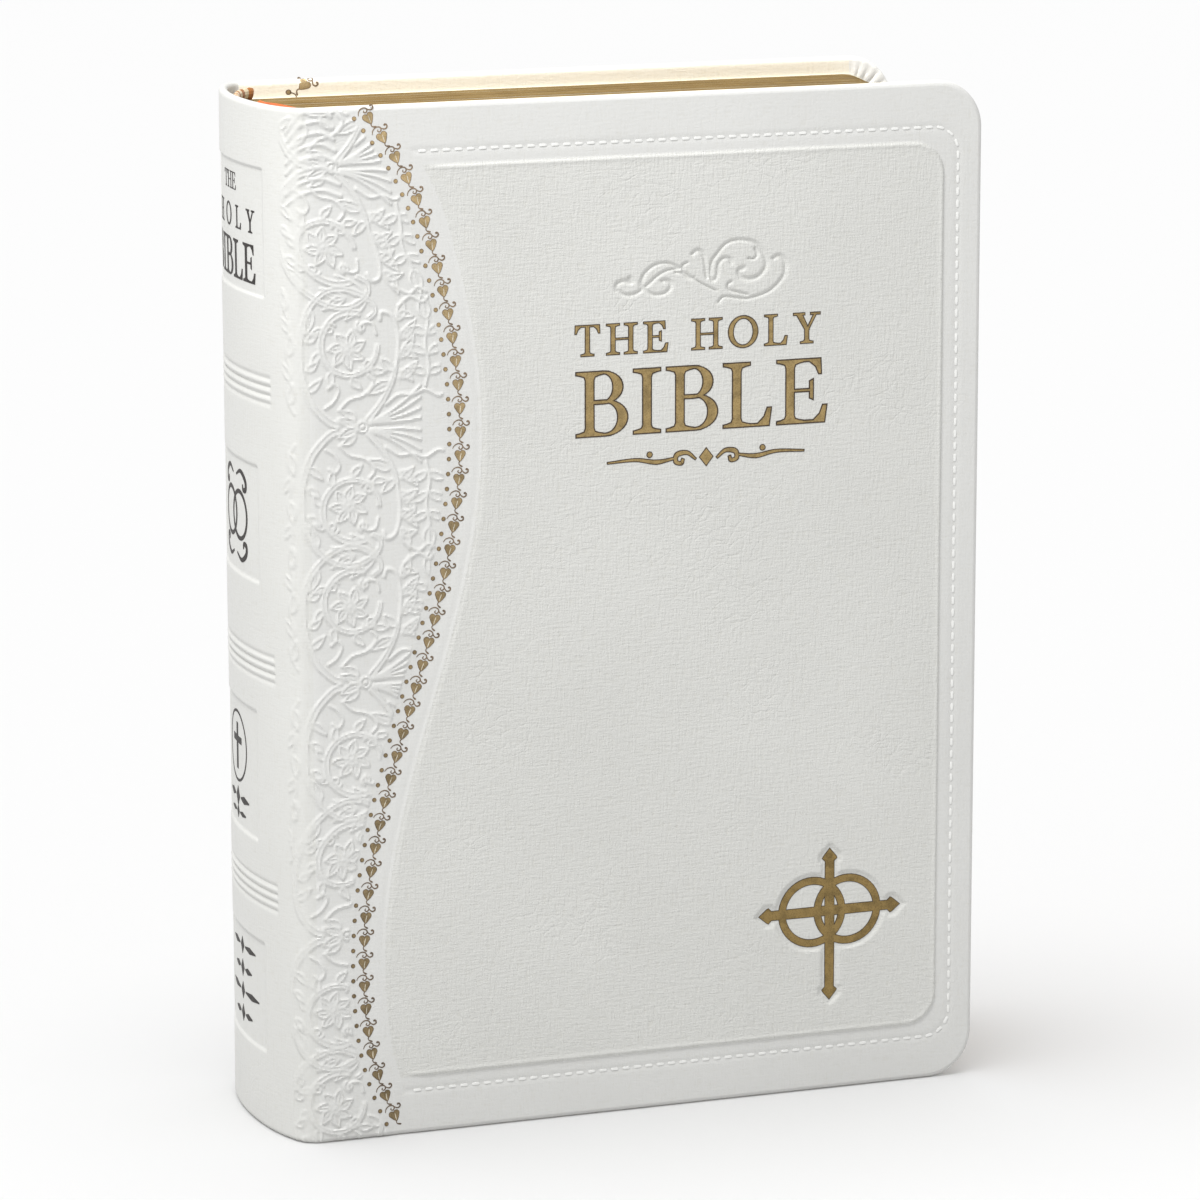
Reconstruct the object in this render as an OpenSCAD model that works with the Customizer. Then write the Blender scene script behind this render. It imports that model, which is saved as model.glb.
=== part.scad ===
// Round-backed bible in flexible boards: two covers and four loose leaves hinge on the
// spine; the sewn text block, the hollow tube and the headbands stay with the spine.
// It stands on its tail edge: +Z runs up to the head, the front cover faces -Y and the
// spine is on the -X side. The origin is the centre of the footprint.

/* [Book] */
// Height of the covers, tail to head
book_height = 235; // [180:1:280]
// Width of a cover, joint to fore-edge
cover_width = 160; // [130:1:190]
// Thickness of the closed book, outside to outside
book_thick = 56; // [50:1:70]
// How far the rounded spine stands out behind the joints
spine_depth = 9; // [8:0.5:14]
// Radius of the covers' fore-edge corners
corner_r = 11; // [4:0.5:16]

/* [Cover layers] */
// Thickness of the leather on the outside of the boards
leather_t = 0.6; // [0.4:0.1:1]
// Thickness of a board
board_t = 1.4; // [1:0.1:2]
// Thickness of the leather turned in over the board's edges
turn_in_t = 0.3; // [0.2:0.05:0.5]
// Width of the turned-in leather
turn_in_w = 12; // [8:0.5:16]
// Distance from the joint to the edge of a board
board_setback = 6; // [4:0.5:9]
// Thickness of the pastedown above the turned-in leather
pastedown_t = 0.3; // [0.2:0.05:0.5]

/* [Text block] */
// Overhang of the covers past the pages at head and tail
head_square = 4; // [2:0.5:6]
// Overhang of the covers past the pages at the fore-edge
fore_square = 4.5; // [2:0.5:7]
// Radius of the pages' fore-edge corners
page_corner_r = 8; // [4:0.5:12]
// Number of sewn section groups in the block
section_count = 12; // [6:1:16]
// Depth of the hollow fore-edge
fore_hollow = 3; // [0:0.5:5]
// Thickness of a single loose leaf
leaf_t = 0.25; // [0.2:0.05:0.4]
// Number of sewing stations along the spine
station_count = 6; // [4:1:10]

/* [Marker ribbon] */
// Width of the ribbon
ribbon_w = 6; // [4:0.5:8]
// Thickness of the ribbon
ribbon_t = 0.25; // [0.2:0.05:0.35]
// Height of the ribbon's end above the tail
ribbon_end = 60; // [20:5:120]

/* [Gold work] */
// Thickness of the foil on the leather
foil_t = 0.1; // [0.05:0.05:0.15]
// Height of one heart of the border, point to lobes
heart_size = 2.9; // [2.4:0.1:4]
// Distance between hearts along the border
heart_pitch = 5.4; // [5:0.1:8]
// Capital height of the large title line
title_h = 14.5; // [10:0.5:18]
// Outer radius of the two rings on the emblem
ring_r = 8.4; // [6:0.2:10]

/* [Hidden] */

// Places across the thickness, measured from the middle of the book
half_thick = book_thick / 2;
skin_face = half_thick - foil_t;
board_face = skin_face - leather_t;
lining_face = board_face - board_t;
turn_in_face = lining_face - turn_in_t;
pastedown_face = turn_in_face - pastedown_t;
leaf_gap = 0.1;
block_gap = 0.35;
front_leaves = 3;
leaf_face = pastedown_face - 0.2;
block_front = -leaf_face + front_leaves * (leaf_t + leaf_gap) + block_gap;
block_back = leaf_face - leaf_t - block_gap;
section_pitch = (block_back - block_front) / section_count;
ribbon_slot = ribbon_t + 0.1;
section_gap = 0.04;

// Places up and along the book, measured from the tail and from the joint
joint_x = (spine_depth - cover_width) / 2;
page_low = head_square;
page_high = book_height - head_square;
page_end = cover_width - fore_square;
leaf_start = 0.3;

// Depths of the spine's layers under its outermost surface; glue_gap keeps them apart
shoulder_inset = 0.3;
spine_leather_t = leather_t + 0.2;
inlay_t = 0.5;
glue_gap = 0.08;
inlay_depth = foil_t + spine_leather_t + glue_gap;
tube_depth = inlay_depth + inlay_t + glue_gap;
tube_t = 1.6;
tube_wall = 0.35;
mull_depth = tube_depth + tube_t + glue_gap;
mull_t = 0.3;
thread_depth = mull_depth + mull_t + glue_gap;
thread_t = 0.3;
thread_h = 0.8;
page_depth = thread_depth + thread_t + glue_gap;
band_r = 0.8;

// Border of hearts: an S-curve from head to tail
border_mid = 22.8;
border_swing = 11.9;
border_crest = 161.6;
border_half_wave = 121.6;
head_sweep = 7;
tail_sweep = 3.5;

// Emblem: a cross with pointed arms behind two interlocked rings
emblem_x = 123.7;
emblem_z = 42.9;
arm_top = 14.9;
arm_low = 21.7;
arm_side = 17.5;
bar_w = 2.3;
point_w = 3.4;
ring_band = 1.8;
ring_apart = 8.8;

// Title block
title_x = 91.5;
title_z = 158.6;
small_h = 6.8;
small_z = 176.9;

// Spine panels, as [low, high] heights
spine_panels = [[18, 44], [67, 97.5], [127, 154], [192, 221]];

function section_name(i) = str("section_", i < 10 ? "0" : "", i);
function sq(v) = v * v;
function border_x(z) = border_mid
    + border_swing * cos(180 * (z - border_crest) / border_half_wave)
    - head_sweep * sq(max(0, z - 208) / 27)
    + tail_sweep * sq(max(0, 25 - z) / 25);
function border_lean(z) = atan2(border_x(z + 0.5) - border_x(z - 0.5), 1);
function arc(cx, cz, r, from, to, steps = 10) =
    [for (i = [0 : steps]) let (a = from + (to - from) * i / steps)
        [cx + r * cos(a), cz + r * sin(a)]];

// Half-ellipse of the rounded spine at a depth below its outermost surface
function spine_arc(depth, spread = 90, steps = 36) =
    [for (i = [0 : steps]) let (a = -spread + 2 * spread * i / steps)
        [-(spine_depth - depth) * cos(a), (half_thick - shoulder_inset - depth) * sin(a)]];
function page_spine_x(y) =
    let (b = half_thick - shoulder_inset - page_depth)
    abs(y) >= b ? 0 : -(spine_depth - page_depth) * sqrt(1 - sq(y / b));
function page_fore_x(y) = page_end - fore_hollow * (1 - sq(y / half_thick));

// Everything is drawn from the joint and moved to the book's own origin
module in_book() {
    translate([joint_x, 0, 0]) children();
}

// A flat sheet standing in the XZ plane, between two places across the thickness
module sheet(from, to) {
    translate([0, to, 0]) rotate([90, 0, 0]) linear_extrude(to - from) children();
}

// The same on the outside of the back cover, mirrored
module on_back() {
    mirror([0, 1, 0]) children();
}

// Outline of a cover or a leaf: square at the joint, round at the fore-edge
module leaf_outline(from_x, to_x, low, high, r) {
    polygon(concat(
        [[from_x, high], [from_x, low]],
        arc(to_x - r, low + r, r, -90, 0),
        arc(to_x - r, high - r, r, 0, 90)));
}

module cover_outline(inset, from_x = 0) {
    leaf_outline(from_x, cover_width - inset, inset, book_height - inset, corner_r - inset / 2);
}

module page_outline(from_x) {
    leaf_outline(from_x, page_end, page_low, page_high, page_corner_r);
}

// One cover, drawn as the front one
module cover_leather() {
    difference() {
        sheet(-skin_face, -turn_in_face) cover_outline(0);
        sheet(-board_face, -lining_face) cover_outline(leather_t, -1);
        sheet(-lining_face - 0.01, -turn_in_face + 1) cover_outline(turn_in_w, -1);
    }
}

module cover_board() {
    sheet(-board_face, -lining_face) cover_outline(leather_t, board_setback);
}

module cover_pastedown() {
    sheet(-lining_face, -turn_in_face) cover_outline(turn_in_w, board_setback);
    sheet(-turn_in_face, -pastedown_face)
        leaf_outline(leaf_start, page_end, page_low, page_high, page_corner_r);
}

// One heart of the border, its point towards the tail
module heart(size) {
    half = size / 2;
    lobe = size * 0.25;
    polygon(concat(
        [[0, -half]],
        arc(lobe, half - lobe, lobe, -30, 150, 6),
        arc(-lobe, half - lobe, lobe, 30, 210, 6)));
}

module heart_border() {
    margin = heart_size * 0.8;
    gaps = round((book_height - 2 * margin) / heart_pitch);
    step = (book_height - 2 * margin) / gaps;
    for (i = [0 : gaps]) {
        z = margin + i * step;
        translate([border_x(z), z]) rotate(-border_lean(z)) heart(heart_size);
    }
}

// Bar of the cross with a pointed, flared end
module cross_arm(length) {
    polygon([
        [-bar_w / 2, 0], [bar_w / 2, 0], [bar_w / 2 * 0.8, length - point_w],
        [point_w / 2, length - point_w], [0, length],
        [-point_w / 2, length - point_w], [-bar_w / 2 * 0.8, length - point_w]]);
}

module cross_and_rings() {
    cross_arm(arm_top);
    rotate(180) cross_arm(arm_low);
    for (a = [-90, 90]) rotate(a) cross_arm(arm_side);
    for (side = [-1, 1]) translate([side * ring_apart / 2, 0]) difference() {
        circle(r = ring_r, $fn = 64);
        circle(r = ring_r - ring_band, $fn = 64);
    }
}

// Plain capitals drawn in a box 10 high; w is the letter's width
module bar(x, z, w, h) {
    translate([x, z]) square([w, h]);
}

module bowl(w, low, high) {
    r = (high - low) / 2;
    translate([w - r, low + r]) intersection() {
        difference() {
            circle(r = r, $fn = 48);
            circle(r = r - 1.5, $fn = 48);
        }
        translate([0, -r]) square([r, 2 * r]);
    }
    bar(0, low, w - r, 1.5);
    bar(0, high - 1.5, w - r, 1.5);
}

module capital(letter) {
    if (letter == "T") {
        bar(0, 8.6, 8, 1.4);
        bar(3.1, 0, 1.8, 10);
    }
    if (letter == "H") {
        for (x = [0, 6.2]) bar(x, 0, 1.8, 10);
        bar(0, 4.3, 8, 1.4);
    }
    if (letter == "E" || letter == "L") {
        bar(0, 0, 1.8, 10);
        bar(0, 0, 6.6, 1.4);
    }
    if (letter == "E") {
        bar(0, 4.3, 5.6, 1.4);
        bar(0, 8.6, 6.6, 1.4);
    }
    if (letter == "I") {
        bar(0, 0, 1.8, 10);
    }
    if (letter == "O") {
        translate([5, 5]) difference() {
            circle(r = 5, $fn = 64);
            circle(r = 3.3, $fn = 64);
        }
    }
    if (letter == "Y") {
        bar(3.1, 0, 1.8, 5);
        polygon([[0, 10], [2, 10], [4.9, 4.6], [3.1, 4.6]]);
        polygon([[8, 10], [6, 10], [3.1, 4.6], [4.9, 4.6]]);
    }
    if (letter == "B") {
        bar(0, 0, 1.8, 10);
        bowl(6.8, 0, 5.7);
        bowl(6.2, 4.3, 10);
    }
}

function capital_w(letter) =
    letter == "O" ? 10 : letter == "I" ? 1.8 : letter == " " ? 3.4
    : letter == "B" ? 6.8 : letter == "E" || letter == "L" ? 6.6 : 8;
function word_w(word, space, n) =
    n == 0 ? 0 : capital_w(word[n - 1]) + space + word_w(word, space, n - 1);

module word(letters, high, space) {
    k = high / 10;
    full = (word_w(letters, space, len(letters)) - space) * k;
    for (i = [0 : len(letters) - 1]) {
        translate([word_w(letters, space, i) * k - full / 2, 0]) scale(k) capital(letters[i]);
    }
}

// Ornament under the title: a diamond between two tapered rules
module title_ornament() {
    rotate(45) square(2.6, center = true);
    for (side = [-1, 1]) {
        polygon([[side * 4, -0.5], [side * 4, 0.5], [side * 22, 0.15], [side * 22, -0.15]]);
    }
}

module title_lines() {
    translate([title_x, small_z]) word("THE HOLY", small_h, 3);
    translate([title_x, title_z]) word("BIBLE", title_h, 2);
    translate([title_x, title_z - 6.5]) title_ornament();
}

// A layer of the rounded spine between two depths
module spine_layer(outer, inner, low, high, spread = 90) {
    out = spine_arc(outer, spread);
    in = spine_arc(inner, spread);
    last = len(in) - 1;
    translate([0, 0, low]) linear_extrude(high - low)
        polygon(concat(out, [for (i = [0 : last]) in[last - i]]));
}

// Rolled band lying along the spine edge of the pages
module page_band(z, out) {
    steps = 28;
    sides = 10;
    spread = 62;
    path = spine_arc(page_depth + band_r * 0.4, spread, steps);
    ring = function (i)
        let (a = path[max(i - 1, 0)], b = path[min(i + 1, steps)],
             t = (b - a) / norm(b - a))
        [for (k = [0 : sides - 1]) let (u = band_r * cos(360 * k / sides))
            [path[i][0] - t[1] * u, path[i][1] + t[0] * u,
             z + out * (band_r + 0.02) + band_r * sin(360 * k / sides)]];
    points = [for (i = [0 : steps]) each ring(i)];
    walls = [for (i = [0 : steps - 1]) for (k = [0 : sides - 1])
        let (n = (k + 1) % sides, a = i * sides, b = a + sides)
        each [[a + k, a + n, b + n], [a + k, b + n, b + k]]];
    ends = [[for (k = [0 : sides - 1]) sides - 1 - k],
            [for (k = [0 : sides - 1]) steps * sides + k]];
    polyhedron(points, concat(walls, ends));
}

// One group of sewn sections: rounded back, hollow fore-edge, rounded corners
module section(i) {
    slot = i == 2 ? ribbon_slot : 0;
    low_y = block_front + (i - 1) * section_pitch + slot;
    high_y = block_front + i * section_pitch - section_gap;
    steps = 4;
    ys = [for (k = [0 : steps]) low_y + (high_y - low_y) * k / steps];
    color("moccasin") in_book() intersection() {
        translate([0, 0, page_low]) linear_extrude(page_high - page_low)
            polygon(concat(
                [for (k = [0 : steps]) [page_fore_x(ys[k]), ys[k]]],
                [for (k = [0 : steps]) [page_spine_x(ys[steps - k]), ys[steps - k]]]));
        sheet(low_y - 1, high_y + 1)
            leaf_outline(-spine_depth, page_fore_x((low_y + high_y) / 2) + 0.2,
                page_low, page_high, page_corner_r);
    }
}

module leaf(place) {
    sheet(place, place + leaf_t) page_outline(leaf_start);
}

module front_cover_skin() {
    color("ivory") in_book() cover_leather();
}

module front_board() {
    color("tan") in_book() cover_board();
}

module front_pastedown() {
    color("cornsilk") in_book() cover_pastedown();
}

module front_border_foil() {
    color("goldenrod") in_book() sheet(-half_thick, -skin_face) heart_border();
}

module title_foil() {
    color("darkkhaki") in_book() sheet(-half_thick, -skin_face) title_lines();
}

module cross_rings_foil() {
    color("darkgoldenrod") in_book() sheet(-half_thick, -skin_face)
        translate([emblem_x, emblem_z]) cross_and_rings();
}

module back_cover_skin() {
    color("ivory") in_book() on_back() cover_leather();
}

module back_board() {
    color("tan") in_book() on_back() cover_board();
}

module back_pastedown() {
    color("cornsilk") in_book() on_back() cover_pastedown();
}

module back_border_foil() {
    color("goldenrod") in_book() on_back() sheet(-half_thick, -skin_face) heart_border();
}

module spine_skin() {
    color("ivory") in_book() 
        spine_layer(foil_t, foil_t + spine_leather_t, 0, book_height);
}

// Foil rules at the head and foot of each spine panel
module spine_foil() {
    rule_h = 0.6;
    color("saddlebrown") in_book() for (panel = spine_panels) {
        for (z = [panel[0] + 6, panel[1] - 6]) spine_layer(0, foil_t, z, z + rule_h, 30);
    }
}

module spine_inlay() {
    color("burlywood") in_book()
        spine_layer(inlay_depth, inlay_depth + inlay_t, leather_t, book_height - leather_t, 86);
}

// Flat paper tube glued to the sections on one side and to the inlay on the other
module hollow_tube() {
    color("peru") in_book() difference() {
        spine_layer(tube_depth, tube_depth + tube_t, page_low + 3, page_high - 3, 80);
        spine_layer(tube_depth + tube_wall, tube_depth + tube_t - tube_wall,
            page_low, page_high, 77);
    }
}

module mull_cloth() {
    color("linen") in_book()
        spine_layer(mull_depth, mull_depth + mull_t, page_low + 12, page_high - 12, 84);
}

// Threads across the backs of the sections, one group at each station
module sewing_thread() {
    reach = (page_high - page_low - 50) / (station_count - 1);
    color("white") in_book() for (i = [0 : station_count - 1]) {
        z = page_low + 25 + i * reach;
        spine_layer(thread_depth, thread_depth + thread_t, z - thread_h / 2, z + thread_h / 2, 76);
    }
}

module head_band() {
    color("chocolate") in_book() page_band(page_high, 1);
}

module tail_band() {
    color("chocolate") in_book() page_band(page_low, -1);
}

// Held behind the spine, laid over the head and tucked between the pages
module ribbon_marker() {
    slot_y = block_front + section_pitch + (ribbon_slot - section_gap) / 2;
    top = book_height - 0.9;
    near_x = -3.6;
    color("orangered") in_book() {
        translate([near_x + 4, slot_y - ribbon_t / 2, ribbon_end])
            cube([ribbon_w, ribbon_t, top - ribbon_end]);
        translate([near_x, slot_y - ribbon_w / 2, top - ribbon_t])
            cube([ribbon_w + 4, ribbon_w, ribbon_t]);
    }
}

module front_flyleaf() {
    color("cornsilk") in_book() leaf(-leaf_face);
}

module presentation_leaf() {
    color("floralwhite") in_book() leaf(-leaf_face + leaf_t + leaf_gap);
}

module title_leaf() {
    color("floralwhite") in_book() leaf(-leaf_face + 2 * (leaf_t + leaf_gap));
}

module back_flyleaf() {
    color("cornsilk") in_book() leaf(leaf_face - leaf_t);
}

front_cover_skin();
front_board();
front_pastedown();
front_border_foil();
title_foil();
cross_rings_foil();
back_cover_skin();
back_board();
back_pastedown();
back_border_foil();
spine_skin();
spine_foil();
spine_inlay();
hollow_tube();
mull_cloth();
sewing_thread();
head_band();
tail_band();
ribbon_marker();
front_flyleaf();
presentation_leaf();
title_leaf();
back_flyleaf();
for (i = [1 : section_count]) {
    section(i);
}
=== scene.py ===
import math

import bmesh
import bpy
import numpy as np
from mathutils import Matrix, Vector
from mathutils.geometry import delaunay_2d_cdt


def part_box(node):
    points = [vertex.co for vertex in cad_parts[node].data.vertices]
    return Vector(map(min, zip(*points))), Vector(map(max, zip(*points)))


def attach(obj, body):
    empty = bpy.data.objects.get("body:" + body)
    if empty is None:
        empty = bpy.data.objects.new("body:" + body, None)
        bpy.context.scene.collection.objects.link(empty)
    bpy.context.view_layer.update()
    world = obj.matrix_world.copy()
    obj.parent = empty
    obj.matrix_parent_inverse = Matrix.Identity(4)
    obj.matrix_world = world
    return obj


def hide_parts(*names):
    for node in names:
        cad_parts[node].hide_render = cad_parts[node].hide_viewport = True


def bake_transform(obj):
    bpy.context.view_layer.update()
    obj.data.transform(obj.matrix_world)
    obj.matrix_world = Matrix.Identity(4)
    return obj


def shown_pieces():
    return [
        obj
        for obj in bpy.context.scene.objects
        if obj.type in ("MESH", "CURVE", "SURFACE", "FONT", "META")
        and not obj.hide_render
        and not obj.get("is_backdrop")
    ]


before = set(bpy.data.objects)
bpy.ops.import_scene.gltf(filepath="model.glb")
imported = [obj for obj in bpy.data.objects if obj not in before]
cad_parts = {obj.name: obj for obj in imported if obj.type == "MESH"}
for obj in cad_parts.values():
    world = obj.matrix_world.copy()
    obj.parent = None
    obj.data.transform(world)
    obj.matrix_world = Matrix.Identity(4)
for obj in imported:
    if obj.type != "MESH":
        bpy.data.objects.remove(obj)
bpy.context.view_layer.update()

# ---------------------------------------------------------------- sizes, in millimetres
# Flat drawing coordinates are (u, z): u runs from the joint over the cover to the fore-edge,
# and is negative round the spine; z is the height above the tail.
MM = 0.001


def cad_box_mm(node):
    low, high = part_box(node)
    return np.array(low) / MM, np.array(high) / MM


cover_low, cover_high = cad_box_mm("front_cover_skin")
spine_low = cad_box_mm("spine_foil")[0]
page_low, page_high = cad_box_mm("front_flyleaf")
JOINT_X = cover_low[0]
WIDE = cover_high[0] - JOINT_X
TALL = cover_high[2]
FACE = -cover_low[1]
TURN_IN_FACE = -cover_high[1]
PASTEDOWN_FACE = -cad_box_mm("front_pastedown")[1][1]
SPINE_DEPTH = JOINT_X - spine_low[0]
CORNER_R = 11.0  # of a cover's corners at the fore-edge
PAGE_LOW, PAGE_HIGH = page_low[2], page_high[2]
PAGE_END = page_high[0] - JOINT_X
PAGE_CORNER_R = 8.0
RIM_R = (FACE - TURN_IN_FACE) / 2
LEAF_BEND = 14.0

# Border of hearts, an S-curve from head to tail that sweeps off at both ends
BORDER_MID, BORDER_SWING = 22.8, 11.9
BORDER_CREST, BORDER_HALF_WAVE = 161.6, 121.6
HEAD_SWEEP, HEAD_SWEEP_FROM = 7.0, 208
TAIL_SWEEP, TAIL_SWEEP_FROM = 3.5, 25
HEART_H = 2.75
HEART_PITCH, HEART_START = 5.35, 3.4
DOT_PITCH, DOT_START = 3.45, 1.5
DOT_OFFSET, DOT_R, DOT_GOLD_R = 2.6, 0.52, 0.38
LINE_OFFSET = 5.0

# Relief on the leather: the raised panel, the depth of what is stamped in, and the stitches
PANEL_LIFT = 0.30
DEBOSS = 0.42
FLOURISH_Z = (186.5, 203.0)
PANEL_TOP, PANEL_LOW, PANEL_RIGHT = TALL - 13.6, 13.6, WIDE - 9.4
PANEL_R = 7.5
STITCH_TOP, STITCH_LOW, STITCH_RIGHT = TALL - 10.4, 10.3, WIDE - 6.0
STITCH_R = 6.0
STITCH_PITCH, STITCH_LEN = 2.8, 1.8

# Gold work on the front: the title's lines as (words, middle, foot, height, width, dark rim
# of painted shade), the ornament under them, and the emblem of a cross and two rings
TITLE_LINES = (
    ("THE HOLY", 90.9, 176.9, 6.8, 58.6, 0.22),
    ("BIBLE", 91.9, 158.6, 14.5, 60.0, 0.3),
)
ORNAMENT = (92.9, 152.2)
ORNAMENT_RIM, EMBLEM_RIM = 0.22, 0.16
EMBLEM = (123.8, 43.1)
ARM_TOP, ARM_LOW, ARM_SIDE = 14.8, 21.3, 17.5
BAR_W, POINT_W = 2.2, 3.5
RING_R, RING_BAND, RING_APART = 8.25, 1.6, 8.8

# Spine: panels as (low, high) heights and how many degrees they reach to the front and the
# back; grooves by the middles of their groups; and how far labels are shifted to the back
SPINE_PANELS = ((18.0, 44.0), (67.0, 97.5), (127.0, 154.0), (192.0, 221.0))
SPINE_PANEL_SIDES = ((27.0, 48.0), (21.0, 51.0), (27.0, 48.0), (37.0, 52.0))
SPINE_GROOVES = (55.6, 108.3, 171.5)
SPINE_GROOVE_PITCH = 1.9
SPINE_GROOVE_HALF = 44.0
SPINE_REACH = 60
LABEL_SHIFT = -4.0
CROSS_SHIFT = -6.0

# Foil: its thickness, how high each layer stands on the leather, and its paints' numbers
FOIL_T = 0.09
DARK_LIFT, GOLD_LIFT, VEIN_LIFT = 0.055, 0.085, 0.105
INSIDE_DARK_LIFT, INSIDE_GOLD_LIFT = 0.06, 0.09
PRINT_LIFT = 0.06
STITCH_LIFTS = ((1.0, 0.13), (0.7, 0.19))
# DARK is the layer whose edge shows round the gold: a rim of painted shade, and on the border also brown
# foil darkened with painted shade
GOLD, DARK, VEIN = range(3)


def border_u(z):
    """Where the border of hearts runs at height z."""
    z = np.asarray(z, float)
    wave = BORDER_SWING * np.cos(np.pi * (z - BORDER_CREST) / BORDER_HALF_WAVE)
    head = (np.clip(z - HEAD_SWEEP_FROM, 0, None) / (TALL - HEAD_SWEEP_FROM)) ** 2
    tail = (np.clip(TAIL_SWEEP_FROM - z, 0, None) / TAIL_SWEEP_FROM) ** 2
    return BORDER_MID + wave - HEAD_SWEEP * head + TAIL_SWEEP * tail


def smoothstep(t):
    t = np.clip(t, 0, 1)
    return t * t * (3 - 2 * t)


# ---------------------------------------------------------------- camera, floor and light
# The camera's place is measured from the front joint at the tail; the lens is in millimetres,
# the turns are yaw, pitch and roll in degrees, and the floor and the lamps are in metres
CAMERA_PLACE = (-327.57, -1146.26, 374.02)
CAMERA_TURNS = (-19.455, -12.047, 0.129)
CAMERA_SENSOR, CAMERA_LENS = 36.0, 161.241
FLOOR_REACH = 14
OVERHEAD_PLACE = (-0.2, -0.02, 2.0)
KEY_PLACE, KEY_TARGET = (-0.36, -0.29, 0.76), (0, 0, 0.12)


def make_camera():
    """A long lens, from the front and a little above, with the spine on the left."""
    camera = bpy.data.cameras.new("camera")
    camera.sensor_width = CAMERA_SENSOR
    camera.lens = CAMERA_LENS
    camera.clip_end = 50
    shot = bpy.data.objects.new("camera", camera)
    bpy.context.scene.collection.objects.link(shot)
    x, y, z = CAMERA_PLACE
    place = Vector((JOINT_X + x, y, z)) * MM
    yaw, pitch, roll = (math.radians(a) for a in CAMERA_TURNS)
    turn = Matrix.Rotation(yaw, 4, "Z") @ Matrix.Rotation(pitch, 4, "X")
    turn = turn @ Matrix.Rotation(roll, 4, "Y") @ Matrix.Rotation(math.radians(90), 4, "X")
    shot.matrix_world = Matrix.Translation(place) @ turn
    bpy.context.scene.camera = shot


def make_stage():
    """A pale matt floor."""
    mesh = bpy.data.meshes.new("floor")
    reach = FLOOR_REACH
    corners = [(-reach, -reach, 0), (reach, -reach, 0), (reach, reach, 0), (-reach, reach, 0)]
    mesh.from_pydata(corners, [], [(0, 1, 2, 3)])
    floor = bpy.data.objects.new("floor", mesh)
    bpy.context.scene.collection.objects.link(floor)
    paint = bpy.data.materials.new("floor_white")
    paint.use_nodes = True
    shader = paint.node_tree.nodes["Principled BSDF"]
    shader.inputs["Base Color"].default_value = (0.93, 0.93, 0.93, 1)
    shader.inputs["Roughness"].default_value = 0.9
    shader.inputs["Specular IOR Level"].default_value = 0.1
    mesh.materials.append(paint)
    floor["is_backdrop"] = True


def add_lamp(lamp, place, target):
    holder = bpy.data.objects.new(lamp.name, lamp)
    bpy.context.scene.collection.objects.link(holder)
    holder.location = place
    way = Vector(target) - Vector(place)
    holder.rotation_euler = way.to_track_quat("-Z", "Y").to_euler()
    return holder


def make_lights():
    """A pale room, a wide lamp overhead, and a key from the upper left for the book only."""
    world = bpy.data.worlds.new("studio")
    world.use_nodes = True
    bpy.context.scene.world = world
    sky = world.node_tree.nodes["Background"]
    sky.inputs["Color"].default_value = (1, 1, 1, 1)
    sky.inputs["Strength"].default_value = 0.56
    overhead = bpy.data.lights.new("overhead", "SUN")
    overhead.energy = 1.6
    overhead.angle = math.radians(50)
    add_lamp(overhead, OVERHEAD_PLACE, (0, 0, 0))
    key = bpy.data.lights.new("key", "AREA")
    key.energy = 5.0
    key.size = 0.20
    book = bpy.data.collections.new("lit_by_key")
    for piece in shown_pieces():
        book.objects.link(piece)
    holder = add_lamp(key, KEY_PLACE, KEY_TARGET)
    holder.light_linking.receiver_collection = book


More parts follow.
